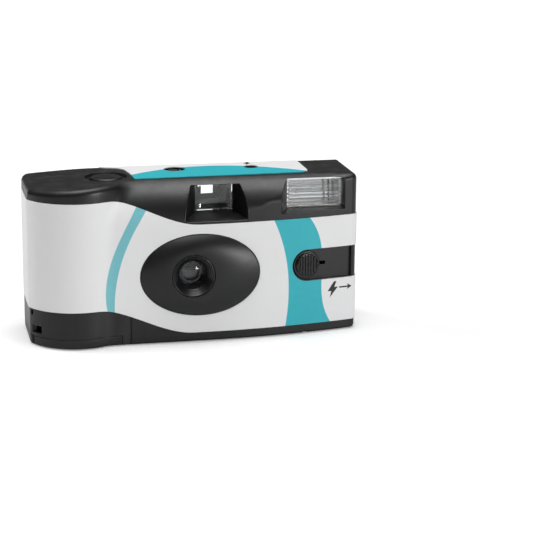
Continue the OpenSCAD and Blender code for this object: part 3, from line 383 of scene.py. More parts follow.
def drawn_metal():
    """Fine lines left by drawing or rolling, along X."""
    g, src, out = new_group(
        "Drawn Metal", [("Lines", 5000.0)], [("Height", "NodeSocketFloat"), ("Tone", "NodeSocketFloat")]
    )
    at = place(g)
    lines = noise(g, stretched(g, at, (0.04, 1.0, 1.0)), src.outputs["Lines"], 2.0)
    g.links.new(lines, out.inputs["Height"])
    tarnish = noise(g, at, 350.0, 4.0)
    g.links.new(weighed(g, lines, 0.5, tarnish, 0.5), out.inputs["Tone"])
    return g


EFFECTS = {
    "Moulded Grain": moulded_grain,
    "Soft Edges": soft_edges,
    "Settled Dust": settled_dust,
    "Handling Marks": handling_marks,
    "Curved Edge": curved_edge,
    "Card Fibre": card_fibre,
    "Drawn Metal": drawn_metal,
}


def effect(tree, name, **values):
    """One placed copy of a shared effect, built the first time it is asked for."""
    node = tree.nodes.new("ShaderNodeGroup")
    node.node_tree = bpy.data.node_groups.get(name) or EFFECTS[name]()
    for key, value in values.items():
        feed(tree, node.inputs[key], value)
    return node.outputs


def begin(name, **plain):
    """A new material, its tree and its shader, with plain values on the shader's own sockets."""
    made = bpy.data.materials.new(name)
    made.use_nodes = True
    tree = made.node_tree
    tree.nodes.clear()
    shader = tree.nodes.new("ShaderNodeBsdfPrincipled")
    out = tree.nodes.new("ShaderNodeOutputMaterial")
    tree.links.new(shader.outputs[0], out.inputs[0])
    for key, value in plain.items():
        shader.inputs[key.replace("_", " ")].default_value = value
    return made, tree, shader


def raise_grain(tree, shader, height, depth, strength, normal):
    """Bump of a real depth in metres over a normal, on the shader."""
    bump = tree.nodes.new("ShaderNodeBump")
    for name, value in (("Strength", strength), ("Distance", depth), ("Height", height), ("Normal", normal)):
        feed(tree, bump.inputs[name], value)
    tree.links.new(bump.outputs[0], shader.inputs["Normal"])


def turned_rings(tree, centre):
    """Waves in rings round an axis along Y, as turning leaves them."""
    out = add(tree, "ShaderNodeVectorMath", place(tree), centre, operation="SUBTRACT").outputs[0]
    out = add(tree, "ShaderNodeVectorMath", out, (1.0, 0.0, 1.0), operation="MULTIPLY").outputs[0]
    far = add(tree, "ShaderNodeVectorMath", out, operation="LENGTH").outputs["Value"]
    return calc(tree, "SINE", calc(tree, "MULTIPLY", far, math.tau / RING_PITCH))


def plastic(name, rgb, rough=(0.35, 0.42), grain=1.0, wear=1.0, dust=1.0, depth=0.030, pale=0.09,
            gloss=0.38, turned=None):
    """Moulded plastic with grain, patches of tone, paled edges and a little dust.

    Grain, wear and dust are shares of the settings, depth is the grain's in millimetres, pale is what
    worn edges gain, and turned is the centre of rings in the mould.
    """
    finish = bpy.context.scene.film_camera_finish
    made, tree, shader = begin(name, Specular_IOR_Level=gloss)
    texture = effect(tree, "Moulded Grain", Grain=1.0 / (finish.grain * grain))
    edges = effect(tree, "Soft Edges", Radius=finish.edge)
    marks = effect(tree, "Handling Marks")
    tone = ramp(tree, texture["Tone"], 0.25, 0.75)
    colour = blend(tree, tone, opaque(shade(rgb, 0.90)), opaque(shade(rgb, 1.12)))
    worn = calc(tree, "MULTIPLY", edges["Wear"], finish.wear * wear)
    colour = blend(tree, worn, colour, opaque([min(1.0, c + pale) for c in rgb]))
    film = effect(tree, "Settled Dust", Amount=finish.dust * dust)["Mask"]
    colour = blend(tree, film, colour, PLASTIC_DUST)
    tree.links.new(colour, shader.inputs["Base Color"])
    tree.links.new(ramp(tree, marks["Dull"], 0.1, 0.9, *rough), shader.inputs["Roughness"])
    height = texture["Height"]
    if turned is not None:
        height = calc(tree, "ADD", height, calc(tree, "MULTIPLY", turned_rings(tree, turned), RING_RISE))
    raise_grain(tree, shader, height, depth * MM, 0.30, edges["Normal"])
    return made


def metal(name, rgb, rough=(0.18, 0.38), lines=5000.0, depth=0.006):
    """Bare sheet, wire or foil; depth is that of its lines in millimetres."""
    made, tree, shader = begin(name, Metallic=1.0)
    drawn = effect(tree, "Drawn Metal", Lines=lines)
    edges = effect(tree, "Soft Edges", Radius=METAL_EDGE)
    tone = blend(tree, drawn["Tone"], opaque(shade(rgb, 0.78)), opaque(rgb))
    tree.links.new(tone, shader.inputs["Base Color"])
    tree.links.new(ramp(tree, drawn["Tone"], 0.2, 0.8, *rough), shader.inputs["Roughness"])
    raise_grain(tree, shader, drawn["Height"], depth * MM, 0.4, edges["Normal"])
    return made


def clear(name, rgb, ior=1.49, rough=(0.015, 0.06), wave=0.010, share=1.0, flute=0.0):
    """Clear moulded plastic with faint flow waves, hair scratches and level flutes a pitch apart.

    Wave is the depth of its waves in millimetres and share is how much of the light passes.
    """
    made, tree, shader = begin(
        name, Base_Color=opaque(rgb), Transmission_Weight=share, IOR=ior, Metallic=0.0
    )
    marks = effect(tree, "Handling Marks", Smudge=120.0)
    edges = effect(tree, "Soft Edges", Radius=CLEAR_EDGE)
    tree.links.new(ramp(tree, marks["Dull"], 0.3, 0.9, *rough), shader.inputs["Roughness"])
    waves = noise(tree, place(tree), 420.0, 1.0)
    if flute:
        level = add(tree, "ShaderNodeSeparateXYZ", place(tree)).outputs[2]
        swing = calc(tree, "SINE", calc(tree, "MULTIPLY", level, math.tau / flute))
        waves = calc(tree, "ADD", waves, calc(tree, "MULTIPLY", swing, FLUTE_RISE))
    raise_grain(tree, shader, waves, wave * MM, 0.5, edges["Normal"])
    return made


def shading_group():
    """Geometry nodes that join split corners and smooth the edges flatter than an angle."""
    made = bpy.data.node_groups.get("Moulded Shading")
    if made:
        return made
    made = bpy.data.node_groups.new("Moulded Shading", "GeometryNodeTree")
    made.interface.new_socket("Geometry", in_out="INPUT", socket_type="NodeSocketGeometry")
    made.interface.new_socket("Angle", in_out="INPUT", socket_type="NodeSocketFloat")
    made.interface.new_socket("Geometry", in_out="OUTPUT", socket_type="NodeSocketGeometry")
    src = made.nodes.new("NodeGroupInput")
    out = made.nodes.new("NodeGroupOutput")
    join = made.nodes.new("GeometryNodeMergeByDistance")
    join.inputs["Distance"].default_value = 0.002 * MM
    angle = made.nodes.new("GeometryNodeInputMeshEdgeAngle")
    sharp = add(made, "FunctionNodeCompare", data_type="FLOAT", operation="GREATER_THAN")
    smooth = add(made, "GeometryNodeSetMeshNormal", mode="SHARPNESS")
    smooth.inputs["Remove Custom"].default_value = True
    made.links.new(src.outputs["Geometry"], join.inputs["Geometry"])
    made.links.new(join.outputs["Geometry"], smooth.inputs["Mesh"])
    made.links.new(angle.outputs["Unsigned Angle"], sharp.inputs[0])
    made.links.new(src.outputs["Angle"], sharp.inputs[1])
    made.links.new(sharp.outputs[0], smooth.inputs["Edge Sharpness"])
    made.links.new(smooth.outputs["Mesh"], out.inputs["Geometry"])
    return made


def dress(names, material, angle=32.0):
    """Gives CAD solids a material and smooth shading up to an angle between faces."""
    group = shading_group()
    key = next(s.identifier for s in group.interface.items_tree if s.name == "Angle")
    for name in names:
        solid = frame["nodes"][name]
        solid.data.materials.clear()
        solid.data.materials.append(material)
        smooth = solid.modifiers.new("Moulded shading", "NODES")
        smooth.node_group = group
        smooth[key] = math.radians(angle)
        weigh = solid.modifiers.new("Weighted normals", "WEIGHTED_NORMAL")
        weigh.keep_sharp = True


def mesh_piece(name, mesh, material, body):
    """A new piece with its material, riding on a body."""
    mesh.materials.clear()
    mesh.materials.append(material)
    piece = bpy.data.objects.new(name, mesh)
    bpy.context.scene.collection.objects.link(piece)
    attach(piece, body)
    return piece


def mesh_of(name, shape):
    """The mesh of a finished bmesh, which is then freed."""
    mesh = bpy.data.meshes.new(name)
    shape.to_mesh(mesh)
    shape.free()
    return mesh


def mesh_from(curve):
    """The mesh of a curve or text, which is then removed."""
    holder = bpy.data.objects.new(curve.name, curve)
    bpy.context.scene.collection.objects.link(holder)
    bpy.context.view_layer.update()
    mesh = bpy.data.meshes.new_from_object(holder)
    bpy.data.objects.remove(holder)
    bpy.data.curves.remove(curve)
    return mesh


def surface(node):
    """Search tree of a solid's faces."""
    solid = frame["nodes"][node]
    return BVHTree.FromPolygons(
        [v.co.copy() for v in solid.data.vertices], [tuple(p.vertices) for p in solid.data.polygons]
    )


def struck(tree, start, way, piece):
    """Where a ray first meets a search tree; the piece that it is for has to lie on it."""
    hit = tree.ray_cast(start, way)[0]
    if hit is None:
        raise RuntimeError(f"{piece} misses the solid that it lies on")
    return hit


def swept(name, points, r):
    """Round bar of radius r along points, thinner at both ends."""
    curve = bpy.data.curves.new(name, "CURVE")
    curve.dimensions = "3D"
    curve.bevel_depth = r
    curve.bevel_resolution = 3
    curve.use_fill_caps = True
    line = curve.splines.new("POLY")
    line.points.add(len(points) - 1)
    for point, at in zip(line.points, points):
        point.co = (*at, 1.0)
    line.points[0].radius = line.points[-1].radius = 0.55
    mesh = mesh_from(curve)
    mesh.shade_smooth()
    return mesh


def printed_mesh(name, outline, node, lay):
    """Flat sign of ink that follows a solid; lay turns a point of the outline into a ray onto it."""
    tree = surface(node)
    shape = bmesh.new()
    shape.faces.new([shape.verts.new((x, y, 0.0)) for x, y in outline])
    shape.normal_update()
    bmesh.ops.triangulate(shape, faces=shape.faces[:])
    bmesh.ops.subdivide_edges(shape, edges=shape.edges[:], cuts=3, use_grid_fill=True)
    grown = bmesh.ops.extrude_face_region(shape, geom=shape.faces[:])
    top = {v for v in grown["geom"] if isinstance(v, bmesh.types.BMVert)}
    for v in shape.verts:
        start, way = lay(v.co.x, v.co.y)
        v.co = struck(tree, start, way, name) - way * (PRINT_RISE if v in top else -PRINT_SINK)
    bmesh.ops.recalc_face_normals(shape, faces=shape.faces[:])
    return mesh_of(name, shape)


class FILM_CAMERA_OT_stage(bpy.types.Operator):
    """Lay out the floor, the soft lamps, the white surroundings and the view"""

    bl_idname = "film_camera.stage"
    bl_label = "Stage"

    def execute(self, context):
        stage = context.scene.film_camera_stage
        self.floor(context, stage)
        self.world(context, stage)
        self.lamps(context, stage)
        self.view(context, stage)
        context.scene.view_settings.view_transform = "Standard"
        return {"FINISHED"}

    def lamps(self, context, stage):
        """Soft rectangular lamps that face the part."""
        for setting, spot, size, in_gloss in LAMPS:
            name = f"{setting} lamp"
            lamp = bpy.data.lights.new(name, "AREA")
            lamp.shape = "RECTANGLE"
            lamp.size, lamp.size_y = size
            lamp.energy = getattr(stage, setting)
            holder = bpy.data.objects.new(name, lamp)
            holder.location = spot
            holder.visible_glossy = in_gloss
            aim = Vector(LAMP_AIM) - Vector(spot)
            holder.rotation_euler = aim.to_track_quat("-Z", "Y").to_euler()
            context.scene.collection.objects.link(holder)

    def floor(self, context, stage):
        """Wide pale disc that looks white to the view and keeps the shadow; from below it isn't there."""
        shape = bmesh.new()
        turns = [k * math.tau / FLOOR_CORNERS for k in range(FLOOR_CORNERS)]
        rings = [[shape.verts.new((r * math.cos(a), r * math.sin(a), 0.0)) for a in turns] for r in FLOOR_RINGS]
        shape.faces.new(rings[0])
        for inner, outer in zip(rings, rings[1:]):
            for i in range(FLOOR_CORNERS):
                shape.faces.new((inner[i - 1], inner[i], outer[i], outer[i - 1]))
        shape.normal_update()
        bmesh.ops.reverse_faces(shape, faces=[f for f in shape.faces if f.normal.z < 0.0])
        mesh = mesh_of("floor", shape)
        mesh.materials.append(self.paper(stage))
        floor = bpy.data.objects.new("floor", mesh)
        floor.location.z = -FLOOR_DROP
        context.scene.collection.objects.link(floor)

    def paper(self, stage):
        """Material of the floor: matt paper with a white glow that grows away from the part."""
        made, tree, shader = begin("floor paper", Roughness=0.9, Specular_IOR_Level=0.0)
        tone = noise(tree, place(tree), 30.0, 3.0)
        colour = blend(tree, tone, opaque(shade(stage.floor, 0.985)), opaque(stage.floor))
        tree.links.new(colour, shader.inputs["Base Color"])
        span = add(tree, "ShaderNodeVectorMath", place(tree), operation="LENGTH").outputs["Value"]
        path = tree.nodes.new("ShaderNodeLightPath").outputs
        seen = calc(tree, "MAXIMUM", path["Is Camera Ray"], path["Is Transmission Ray"])
        seen = calc(tree, "MULTIPLY", seen, ramp(tree, span, *FLOOR_SEEN))
        gloss = calc(tree, "MULTIPLY", path["Is Glossy Ray"], ramp(tree, span, *FLOOR_GLOSS))
        glow = add(tree, "ShaderNodeEmission", WHITE, calc(tree, "MAXIMUM", seen, gloss))
        lit = add(tree, "ShaderNodeAddShader", shader.outputs[0], glow.outputs[0])
        below = tree.nodes.new("ShaderNodeNewGeometry").outputs["Backfacing"]
        nothing = tree.nodes.new("ShaderNodeBsdfTransparent")
        sided = add(tree, "ShaderNodeMixShader", below, lit.outputs[0], nothing.outputs[0])
        out = next(n for n in tree.nodes if n.bl_idname == "ShaderNodeOutputMaterial")
        tree.links.new(sided.outputs[0], out.inputs[0])
        return made

    def world(self, context, stage):
        """White to the view, through glass and, from above, in gloss; a soft even light for the rest."""
        world = bpy.data.worlds.new("white surroundings")
        world.use_nodes = True
        tree = world.node_tree
        tree.nodes.clear()
        path = tree.nodes.new("ShaderNodeLightPath").outputs
        shown = calc(tree, "MAXIMUM", path["Is Camera Ray"], path["Is Transmission Ray"])
        height = add(tree, "ShaderNodeSeparateXYZ", place(tree)).outputs[2]
        gloss = calc(tree, "MULTIPLY", path["Is Glossy Ray"], ramp(tree, height, *SKY_GLOSS))
        shown = calc(tree, "MAXIMUM", shown, gloss)
        strength = add(tree, "ShaderNodeMapRange", shown, 0.0, 1.0, stage.ambient, 1.0).outputs[0]
        back = add(tree, "ShaderNodeBackground", WHITE, strength)
        out = tree.nodes.new("ShaderNodeOutputWorld")
        tree.links.new(back.outputs[0], out.inputs[0])
        context.scene.world = world

    def view(self, context, stage):
        """Viewpoint left of and above the front."""
        turn, fall, roll = (math.radians(a) for a in (VIEW_TURN, VIEW_FALL, VIEW_ROLL))
        ahead = Vector((math.sin(turn) * math.cos(fall), math.cos(turn) * math.cos(fall), -math.sin(fall)))
        right = Vector((math.cos(turn), -math.sin(turn), 0.0))
        up = right.cross(ahead)
        right, up = (
            math.cos(roll) * right + math.sin(roll) * up,
            math.cos(roll) * up - math.sin(roll) * right,
        )
        data = bpy.data.cameras.new("view")
        data.lens = stage.lens
        data.sensor_width = FILM_WIDTH
        data.clip_start, data.clip_end = VIEW_CLIP
        holder = bpy.data.objects.new("view", data)
        turned = Matrix((right, up, -ahead)).transposed().to_4x4()
        holder.matrix_world = Matrix.Translation(VIEW_PLACE) @ turned
        context.scene.collection.objects.link(holder)
        context.scene.camera = holder


class FILM_CAMERA_OT_shells(bpy.types.Operator):
    """Dress both covers, the film door and the lens ring in grained black plastic"""

    bl_idname = "film_camera.shells"
    bl_label = "Shells"

    def execute(self, context):
        black = context.scene.film_camera_finish.shell
        dress(("front_cover", "rear_cover", "film_door"), plastic("shell plastic", black))
        # The rims get a lighter copy of the shell black and edges paled more than the shell's. This is painted
        # highlight where the rounded rims catch light, partly real edge wear, on top of their real gloss.
        highlit_trim = plastic("rim plastic", shade(black, 1.3), (0.28, 0.36), grain=0.8, wear=1.4, gloss=0.5)
        self.finder_rim(highlit_trim)
        self.slot_rim(highlit_trim)
        low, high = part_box("taking_lens")
        # The lens ring is a darker copy of the shell black, which is painted shade in the recessed lens funnel.
        ring = plastic("ring plastic", shade(black, 0.8), (0.24, 0.34), grain=0.7, depth=0.04, gloss=0.4,
                       turned=(low + high) / 2)
        dress(("lens_ring",), ring)
        return {"FINISHED"}

    def finder_rim(self, highlit_trim):
        """Raised rim round the sides and the foot of the viewfinder's funnel."""
        low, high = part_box("finder_front_lens")
        cover = surface("front_cover")
        left_start, right_start = low.x - 8.5 * MM, high.x + 7.5 * MM
        step, fall = 0.05 * MM, 0.04 * MM
        foot, head = low.z - 1.2 * MM, high.z - 0.6 * MM
        base_drop, corner = 0.62 * MM, 0.9 * MM

        def on_face(x, z):
            return struck(cover, Vector((x, -0.05, z)), Vector((0.0, 1.0, 0.0)), "finder_rim")

        def mouth(side, z):
            """Edge of the funnel at a height, found from outside inwards."""
            x = left_start if side < 0 else right_start
            last = on_face(x, z)
            while True:
                x -= side * step
                at = on_face(x, z)
                if at.y - last.y > fall:
                    return last
                last = at

        heights = spread(foot, head, 14)
        left = [mouth(-1, z) for z in reversed(heights)]
        right = [mouth(1, z) for z in heights]
        across = spread(left[-1].x + corner, right[0].x - corner, 12)
        base = [on_face(x, foot - base_drop) for x in across]
        mesh_piece("finder_rim", swept("finder_rim", left + base + right, 0.28 * MM), highlit_trim, "camera")

    def slot_rim(self, highlit_trim):
        """Thin raised rim round the mouth of the flash slider's slot, open at the right end."""
        low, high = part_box("flash_slider")
        cover = surface("front_cover")
        ahead, up = Vector((0.0, 1.0, 0.0)), Vector((0.0, 0.0, 1.0))
        z = (low.z + high.z) / 2
        hub = Vector((low.x + (high.z - low.z) / 2, 0.0, z))
        reach = 0.5 * (high.z - low.z) + 2.6 * MM
        step, tries, fall, inset = 0.04 * MM, 90, 0.10 * MM, 0.18 * MM

        def mouth(start, way):
            """Point on the face just before the slot, coming in from start."""
            last = None
            for k in range(tries):
                at = struck(cover, start + way * (step * k) - ahead * 0.05, ahead, "slot_rim")
                if last is not None and at.y - last.y > fall:
                    return last - way * inset
                last = at
            raise RuntimeError("the slot rim finds no slot")

        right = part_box("front_cover")[1].x - 3.4 * MM
        run = spread(hub.x, right, 10)
        top = [mouth(Vector((x, 0.0, z + reach)), -up) for x in reversed(run)]
        turns = [math.pi * (0.5 + k / 20) for k in range(1, 20)]
        nose = [Vector((math.cos(a), 0.0, math.sin(a))) for a in turns]
        nose = [mouth(hub + out * reach, -out) for out in nose]
        foot = [mouth(Vector((x, 0.0, z - reach)), up) for x in run]
        mesh_piece("slot_rim", swept("slot_rim", top + nose + foot, 0.20 * MM), highlit_trim, "camera")


class FILM_CAMERA_OT_labels(bpy.types.Operator):
    """Print the two card labels with their curved stripes"""

    bl_idname = "film_camera.labels"
    bl_label = "Labels"

    def execute(self, context):
        finish = context.scene.film_camera_finish
        dress(("front_label",), self.card("front card", finish, self.front_stripes))
        dress(("top_label",), self.card("top card", finish, self.top_stripe))
        return {"FINISHED"}

    def card(self, name, finish, stripes):
        """Coated card; stripes makes the share of ink from the tree."""
        made, tree, shader = begin(name, Coat_Weight=0.06, Coat_Roughness=0.30, Specular_IOR_Level=0.35)
        fibre = effect(tree, "Card Fibre")
        marks = effect(tree, "Handling Marks", Smudge=38.0)
        edges = effect(tree, "Soft Edges", Radius=CARD_EDGE, Breakup=1500.0)
        white = blend(tree, fibre["Tone"], opaque(shade(finish.card, 0.965)), opaque(finish.card))
        ink = blend(tree, fibre["Tone"], opaque(shade(finish.ink, 0.90)), opaque(shade(finish.ink, 1.08)))
        colour = blend(tree, stripes(tree), white, ink)
        scuff = calc(tree, "MULTIPLY", edges["Wear"], 0.25)
        colour = blend(tree, scuff, colour, CARD_SCUFF)
        dust = effect(tree, "Settled Dust", Amount=finish.dust * 0.4)["Mask"]
        colour = blend(tree, dust, colour, CARD_DUST)
        tree.links.new(colour, shader.inputs["Base Color"])
        tree.links.new(ramp(tree, marks["Dull"], 0.1, 0.9, 0.46, 0.56), shader.inputs["Roughness"])
        raise_grain(tree, shader, fibre["Height"], 0.006 * MM, 0.35, edges["Normal"])
        return made

    def beyond(self, tree, along, across, curve):
        """Where the label lies beyond a curved edge."""
        a, b, c, d = curve
        return effect(tree, "Curved Edge", Along=along, Across=across, C0=a, C1=b, C2=c, C3=d)["Beyond"]

    def front_stripes(self, tree):
        """A narrow stripe on the grip and a broad one towards the flash side."""
        x, _, z = millimetres(tree)
        narrow, broad = (
            calc(tree, "SUBTRACT", *(self.beyond(tree, z, x, edge) for edge in stripe), clamp=True)
            for stripe in (NARROW_STRIPE, BROAD_STRIPE)
        )
        return calc(tree, "ADD", calc(tree, "MULTIPLY", narrow, NARROW_INK), broad, clamp=True)

    def top_stripe(self, tree):
        """The field in front of one long arc."""
        x, y, _ = millimetres(tree)
        return calc(tree, "SUBTRACT", 1.0, self.beyond(tree, x, y, TOP_ARC))


class FILM_CAMERA_OT_signs(bpy.types.Operator):
    """Print the plain bolts and the arrow on the labels"""

    bl_idname = "film_camera.signs"
    bl_label = "Signs"

    def execute(self, context):
        finish = context.scene.film_camera_finish
        spots = context.scene.film_camera_print
        ink = plastic("sign ink", finish.sign, (0.35, 0.5), grain=0.6, wear=0.2, dust=0.3, depth=0.004)

        def from_front(x, y):
            return Vector((x, -0.05, y)), Vector((0.0, 1.0, 0.0))

        def from_above(x, y):
            return Vector((x, y, 0.2)), Vector((0.0, 0.0, -1.0))

        def put(name, outline, label, lay):
            mesh_piece(name, printed_mesh(name, outline, label, lay), ink, "camera")

        size = spots.bolt_size
        bolt = [(spots.bolt_x + size * x, spots.bolt_z + size * y) for x, y in BOLT]
        put("front_bolt", bolt, "front_label", from_front)
        x, z, run = spots.arrow_x, spots.arrow_z, spots.arrow_size
        half, head, wide = 0.055 * run, 0.36 * run, 0.22 * run
        neck = x + run - 0.85 * head
        arrow = [(x, z - half), (neck, z - half), (x + run - head, z - wide), (x + run, z),
                 (x + run - head, z + wide), (neck, z + half), (x, z + half)]
        put("front_arrow", arrow, "front_label", from_front)
        low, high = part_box("ready_lamp")
        across, along = ((low + high) / 2).xy + Vector(SMALL_BOLT_SHIFT)
        size = spots.small_bolt
        small = [(across + SMALL_BOLT_WIDTH * size * x, along + size * y) for x, y in BOLT]
        put("top_bolt", small, "top_label", from_above)
        return {"FINISHED"}


class FILM_CAMERA_OT_controls(bpy.types.Operator):
    """Dress the button, the flash slider and the thumbwheel"""

    bl_idname = "film_camera.controls"
    bl_label = "Controls"

    def execute(self, context):
        black = context.scene.film_camera_finish.shell
        button = plastic("button plastic", shade(black, 0.9), (0.28, 0.42), grain=0.8, wear=1.3)
        dress(("release_button",), button)
        knob = plastic("knob plastic", shade(black, 0.8), (0.22, 0.32), grain=0.8, wear=1.6, gloss=0.45)
        dress(("flash_slider",), knob)
        dress(("thumbwheel",), plastic("wheel plastic", black, (0.30, 0.46), grain=0.9, wear=1.5))
        brass = metal("contact brass", (0.78, 0.58, 0.28))
        dress(("slider_contact", "sync_contact", "positive_contact"), brass)
        return {"FINISHED"}


class FILM_CAMERA_OT_windows(bpy.types.Operator):
    """Glaze the flash, the viewfinder, the counter and the taking lens"""

    bl_idname = "film_camera.windows"
    bl_label = "Windows"

    def execute(self, context):
        finish = context.scene.film_camera_finish
        flash = clear("flash acrylic", (0.97, 0.98, 0.98), rough=(0.01, 0.05), wave=0.030, flute=FLUTE_PITCH)
        dress(("flash_window",), flash)
        finder = clear("finder acrylic", (0.95, 0.97, 0.97), wave=0.004)
        dress(("finder_front_lens", "finder_rear_lens"), finder)
        dress(("counter_window",), clear("counter acrylic", (0.80, 0.82, 0.83), ior=1.30, wave=0.006))
        glass = clear("lens acrylic", (0.90, 0.92, 0.94), ior=1.44, rough=(0.01, 0.03), wave=0.002)
        dress(("taking_lens",), glass)
        dark = plastic("finder tube plastic", shade(finish.inner, 0.6), (0.45, 0.58), grain=1.2, wear=0.3,
                       dust=0.2, gloss=0.12)
        dress(("finder_tube", "lens_retainer", "aperture_plate"), dark)
        return {"FINISHED"}


class FILM_CAMERA_OT_counter(bpy.types.Operator):
    """Dress the exposure counter's dial and put its digits on"""

    bl_idname = "film_camera.counter"
    bl_label = "Counter"

    def execute(self, context):
        finish = context.scene.film_camera_finish
        dial = plastic("dial plastic", finish.inner, (0.45, 0.6), grain=0.8, wear=0.2, dust=0.1)
        dress(("counter_dial",), dial)
        chalk = plastic("digit ink", (0.78, 0.78, 0.76), (0.5, 0.6), grain=0.6, wear=0.1, dust=0.1, depth=0.003)
        low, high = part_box("counter_dial")
        hub = (low + high) / 2
        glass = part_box("counter_window")
        seen = (glass[0] + glass[1]) / 2 - hub
        start, far = math.atan2(seen.y, seen.x), math.hypot(seen.x, seen.y)
        shape = bmesh.new()
        for k in range(COUNTER_STEPS):
            turn = start + k * math.tau / COUNTER_STEPS
            count = COUNTER_STEPS - 1 - k
            if count % 2:
                mesh = self.digits(str(count), context.scene.film_camera_print.digit)
            else:
                mesh = self.dot(DIGIT_DOT)
            at = Matrix.Translation((hub.x, hub.y, high.z)) @ Matrix.Rotation(turn, 4, "Z")
            mesh.transform(at @ Matrix.Translation((far, 0, 0)) @ Matrix.Rotation(-start, 4, "Z"))
            shape.from_mesh(mesh)
            bpy.data.meshes.remove(mesh)
        mesh_piece("dial_digits", mesh_of("dial_digits", shape), chalk, "counter")
        return {"FINISHED"}

    def digits(self, text, height):
        """Raised print of one number, centred."""
        curve = bpy.data.curves.new("digits", "FONT")
        curve.body = text
        curve.align_x, curve.align_y = "CENTER", "CENTER"
        curve.size = height
        curve.extrude = DIGIT_RISE
        curve.resolution_u = 3
        return mesh_from(curve)

    def dot(self, r):
        """Raised round point between two numbers."""
        shape = bmesh.new()
        bmesh.ops.create_cone(
            shape, cap_ends=True, segments=20, radius1=r, radius2=0.9 * r, depth=2.0 * DIGIT_RISE
        )
        return mesh_of("dot", shape)


class FILM_CAMERA_OT_flash_unit(bpy.types.Operator):
    """Dress the reflector, the tube, the board and what stands on it"""

    bl_idname = "film_camera.flash_unit"
    bl_label = "Flash unit"

    def execute(self, context):
        finish = context.scene.film_camera_finish
        foil = metal("reflector foil", (0.90, 0.90, 0.89), (0.06, 0.18), lines=2600.0)
        dress(("flash_reflector",), foil)
        glass = clear("tube glass", (0.97, 0.98, 1.0), ior=1.47, rough=(0.0, 0.02), wave=0.001)
        dress(("flash_tube",), glass)
        dress(("tube_electrodes", "negative_contact"), metal("nickel", (0.72, 0.71, 0.68)))
        board = plastic("board laminate", (0.045, 0.030, 0.016), (0.4, 0.6), grain=1.5, wear=0.4, dust=0.3)
        dress(("circuit_board",), board)
        dress(("flash_capacitor",), plastic("capacitor sleeve", (0.02, 0.03, 0.06), (0.22, 0.32), wear=0.5))
        tape = plastic("winding tape", (0.62, 0.42, 0.05), (0.3, 0.45), grain=0.8, wear=0.4)
        dress(("transformer",), tape)
        varnish = plastic("coil varnish", (0.30, 0.07, 0.02), (0.25, 0.4), grain=0.5, wear=0.4)
        dress(("trigger_coil",), varnish)
        dress(("ready_lamp",), clear("lamp lens", finish.lamp, ior=1.5, rough=(0.05, 0.12), share=0.45))
        self.tube_clips(metal("clip steel", (0.10, 0.10, 0.105), (0.3, 0.45)))
        sleeve = plastic("cell sleeve", (0.03, 0.032, 0.035), (0.2, 0.3), grain=0.8, wear=0.6)
        dress(("battery_cell",), sleeve)
        return {"FINISHED"}

    def tube_clips(self, steel):
        """Thin dark clips that hold the flash tube in its reflector."""
        low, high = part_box("flash_tube")
        bowl = surface("flash_reflector")
        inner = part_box("flash_reflector")
        y = low.y - 0.35 * MM
        z = (low.z + high.z) / 2
        bow, r, steps = 0.25 * MM, 0.32 * MM, 10
        for name, x in (("left_clip", inner[0].x + 1.5 * MM), ("right_clip", inner[1].x - 3.2 * MM)):
            top, foot = (struck(bowl, Vector((x, y, z)), Vector((0.0, 0.0, way)), name) for way in (1.0, -1.0))
            points = [top.lerp(foot, share) for share in spread(0.0, 1.0, steps)]
            for k, point in enumerate(points):
                point.y -= bow * math.sin(math.pi * k / steps)
            mesh_piece(name, swept(name, points, r), steel, "camera")


class FILM_CAMERA_OT_film(bpy.types.Operator):
    """Dress the film, its cassette and both spools"""

    bl_idname = "film_camera.film"
    bl_label = "Film"

    def execute(self, context):
        finish = context.scene.film_camera_finish
        base = plastic("film base", (0.030, 0.026, 0.024), (0.10, 0.20), grain=0.4, wear=0.2, dust=0.2,
                       depth=0.001)
        dress(("film_strip", "film_roll"), base)
        dress(("cassette_shell",), metal("cassette tin", (0.58, 0.58, 0.57), (0.25, 0.42)))
        spool = plastic("spool plastic", finish.inner, (0.30, 0.45), grain=0.8, wear=0.8)
        dress(("cassette_caps", "cassette_spool", "supply_spool"), spool)
        velvet = plastic("trap velvet", (0.008, 0.008, 0.008), (0.85, 0.98), grain=1.6, wear=0.0, dust=0.2,
                         depth=0.12, gloss=0.05)
        dress(("light_trap",), velvet)
        return {"FINISHED"}


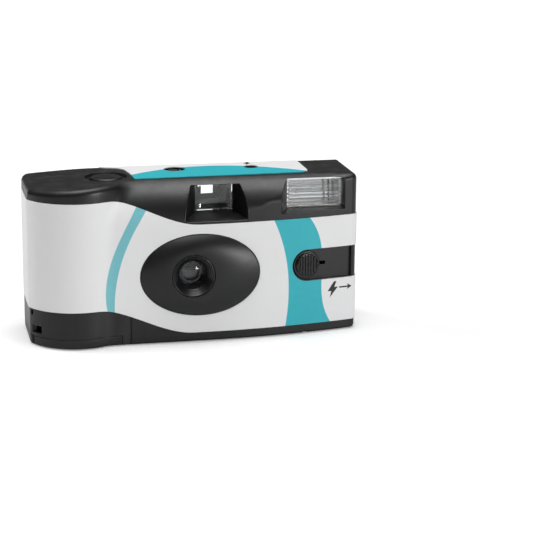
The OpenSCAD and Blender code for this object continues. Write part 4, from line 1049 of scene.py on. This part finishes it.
class FILM_CAMERA_OT_works(bpy.types.Operator):
    """Dress the shutter, the winding works and the chassis"""

    bl_idname = "film_camera.works"
    bl_label = "Works"

    def execute(self, context):
        finish = context.scene.film_camera_finish
        dress(("shutter_blade", "hammer"), metal("blackened steel", (0.030, 0.030, 0.032), (0.35, 0.5)))
        wire = metal("spring wire", (0.62, 0.61, 0.6))
        dress(("shutter_spring", "hammer_spring"), wire)
        self.release_coil(wire)
        dark = plastic("chassis plastic", finish.inner, (0.45, 0.62), grain=1.1, wear=0.4, dust=0.4)
        dress(("chassis",), dark)
        acetal = plastic("acetal", (0.55, 0.54, 0.51), (0.3, 0.42), grain=0.7, wear=0.2, dust=0.3, pale=0.05)
        dress(("sprocket_shaft", "metering_lever", "pawl"), acetal)
        return {"FINISHED"}

    def release_coil(self, wire):
        """The button's return spring, as a piece of its own that rides on the camera in place of the hidden
        solid.
        """
        node = frame["nodes"]["release_spring"]
        mesh = node.data.copy()
        mesh.transform(node.matrix_world)
        mesh.shade_smooth()
        coil = mesh_piece("release_coil", mesh, wire, "camera")
        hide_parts("release_spring")
        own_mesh(coil)


OPERATORS = (
    FILM_CAMERA_OT_stage,
    FILM_CAMERA_OT_shells,
    FILM_CAMERA_OT_labels,
    FILM_CAMERA_OT_signs,
    FILM_CAMERA_OT_controls,
    FILM_CAMERA_OT_windows,
    FILM_CAMERA_OT_counter,
    FILM_CAMERA_OT_flash_unit,
    FILM_CAMERA_OT_film,
    FILM_CAMERA_OT_works,
)
SETTINGS = (
    ("film_camera_finish", FilmCameraFinish),
    ("film_camera_print", FilmCameraPrint),
    ("film_camera_stage", FilmCameraStage),
)


class FILM_CAMERA_PT_pieces(bpy.types.Panel):
    """Settings of the film camera and the steps that dress it"""

    bl_idname = "FILM_CAMERA_PT_pieces"
    bl_label = "Film Camera"
    bl_space_type = "VIEW_3D"
    bl_region_type = "UI"
    bl_category = "Film Camera"

    def draw(self, context):
        for attribute, kind in SETTINGS:
            box = self.layout.box()
            for key in kind.__annotations__:
                box.prop(getattr(context.scene, attribute), key)
        for step in OPERATORS:
            self.layout.operator(step.bl_idname)


def register():
    """Makes the settings, steps and panel known."""
    for kind in [k for _, k in SETTINGS] + list(OPERATORS) + [FILM_CAMERA_PT_pieces]:
        bpy.utils.register_class(kind)
    for attribute, kind in SETTINGS:
        setattr(bpy.types.Scene, attribute, PointerProperty(type=kind))


def unregister():
    """Takes them out again."""
    for attribute, _ in SETTINGS:
        delattr(bpy.types.Scene, attribute)
    for kind in [FILM_CAMERA_PT_pieces] + list(reversed(OPERATORS)) + [k for _, k in SETTINGS]:
        bpy.utils.unregister_class(kind)


def main():
    """Dresses the solids in order."""
    register()
    for step in OPERATORS:
        group, verb = step.bl_idname.split(".")
        getattr(getattr(bpy.ops, group), verb)()
    bpy.context.view_layer.update()


if __name__ == "__main__":
    main()
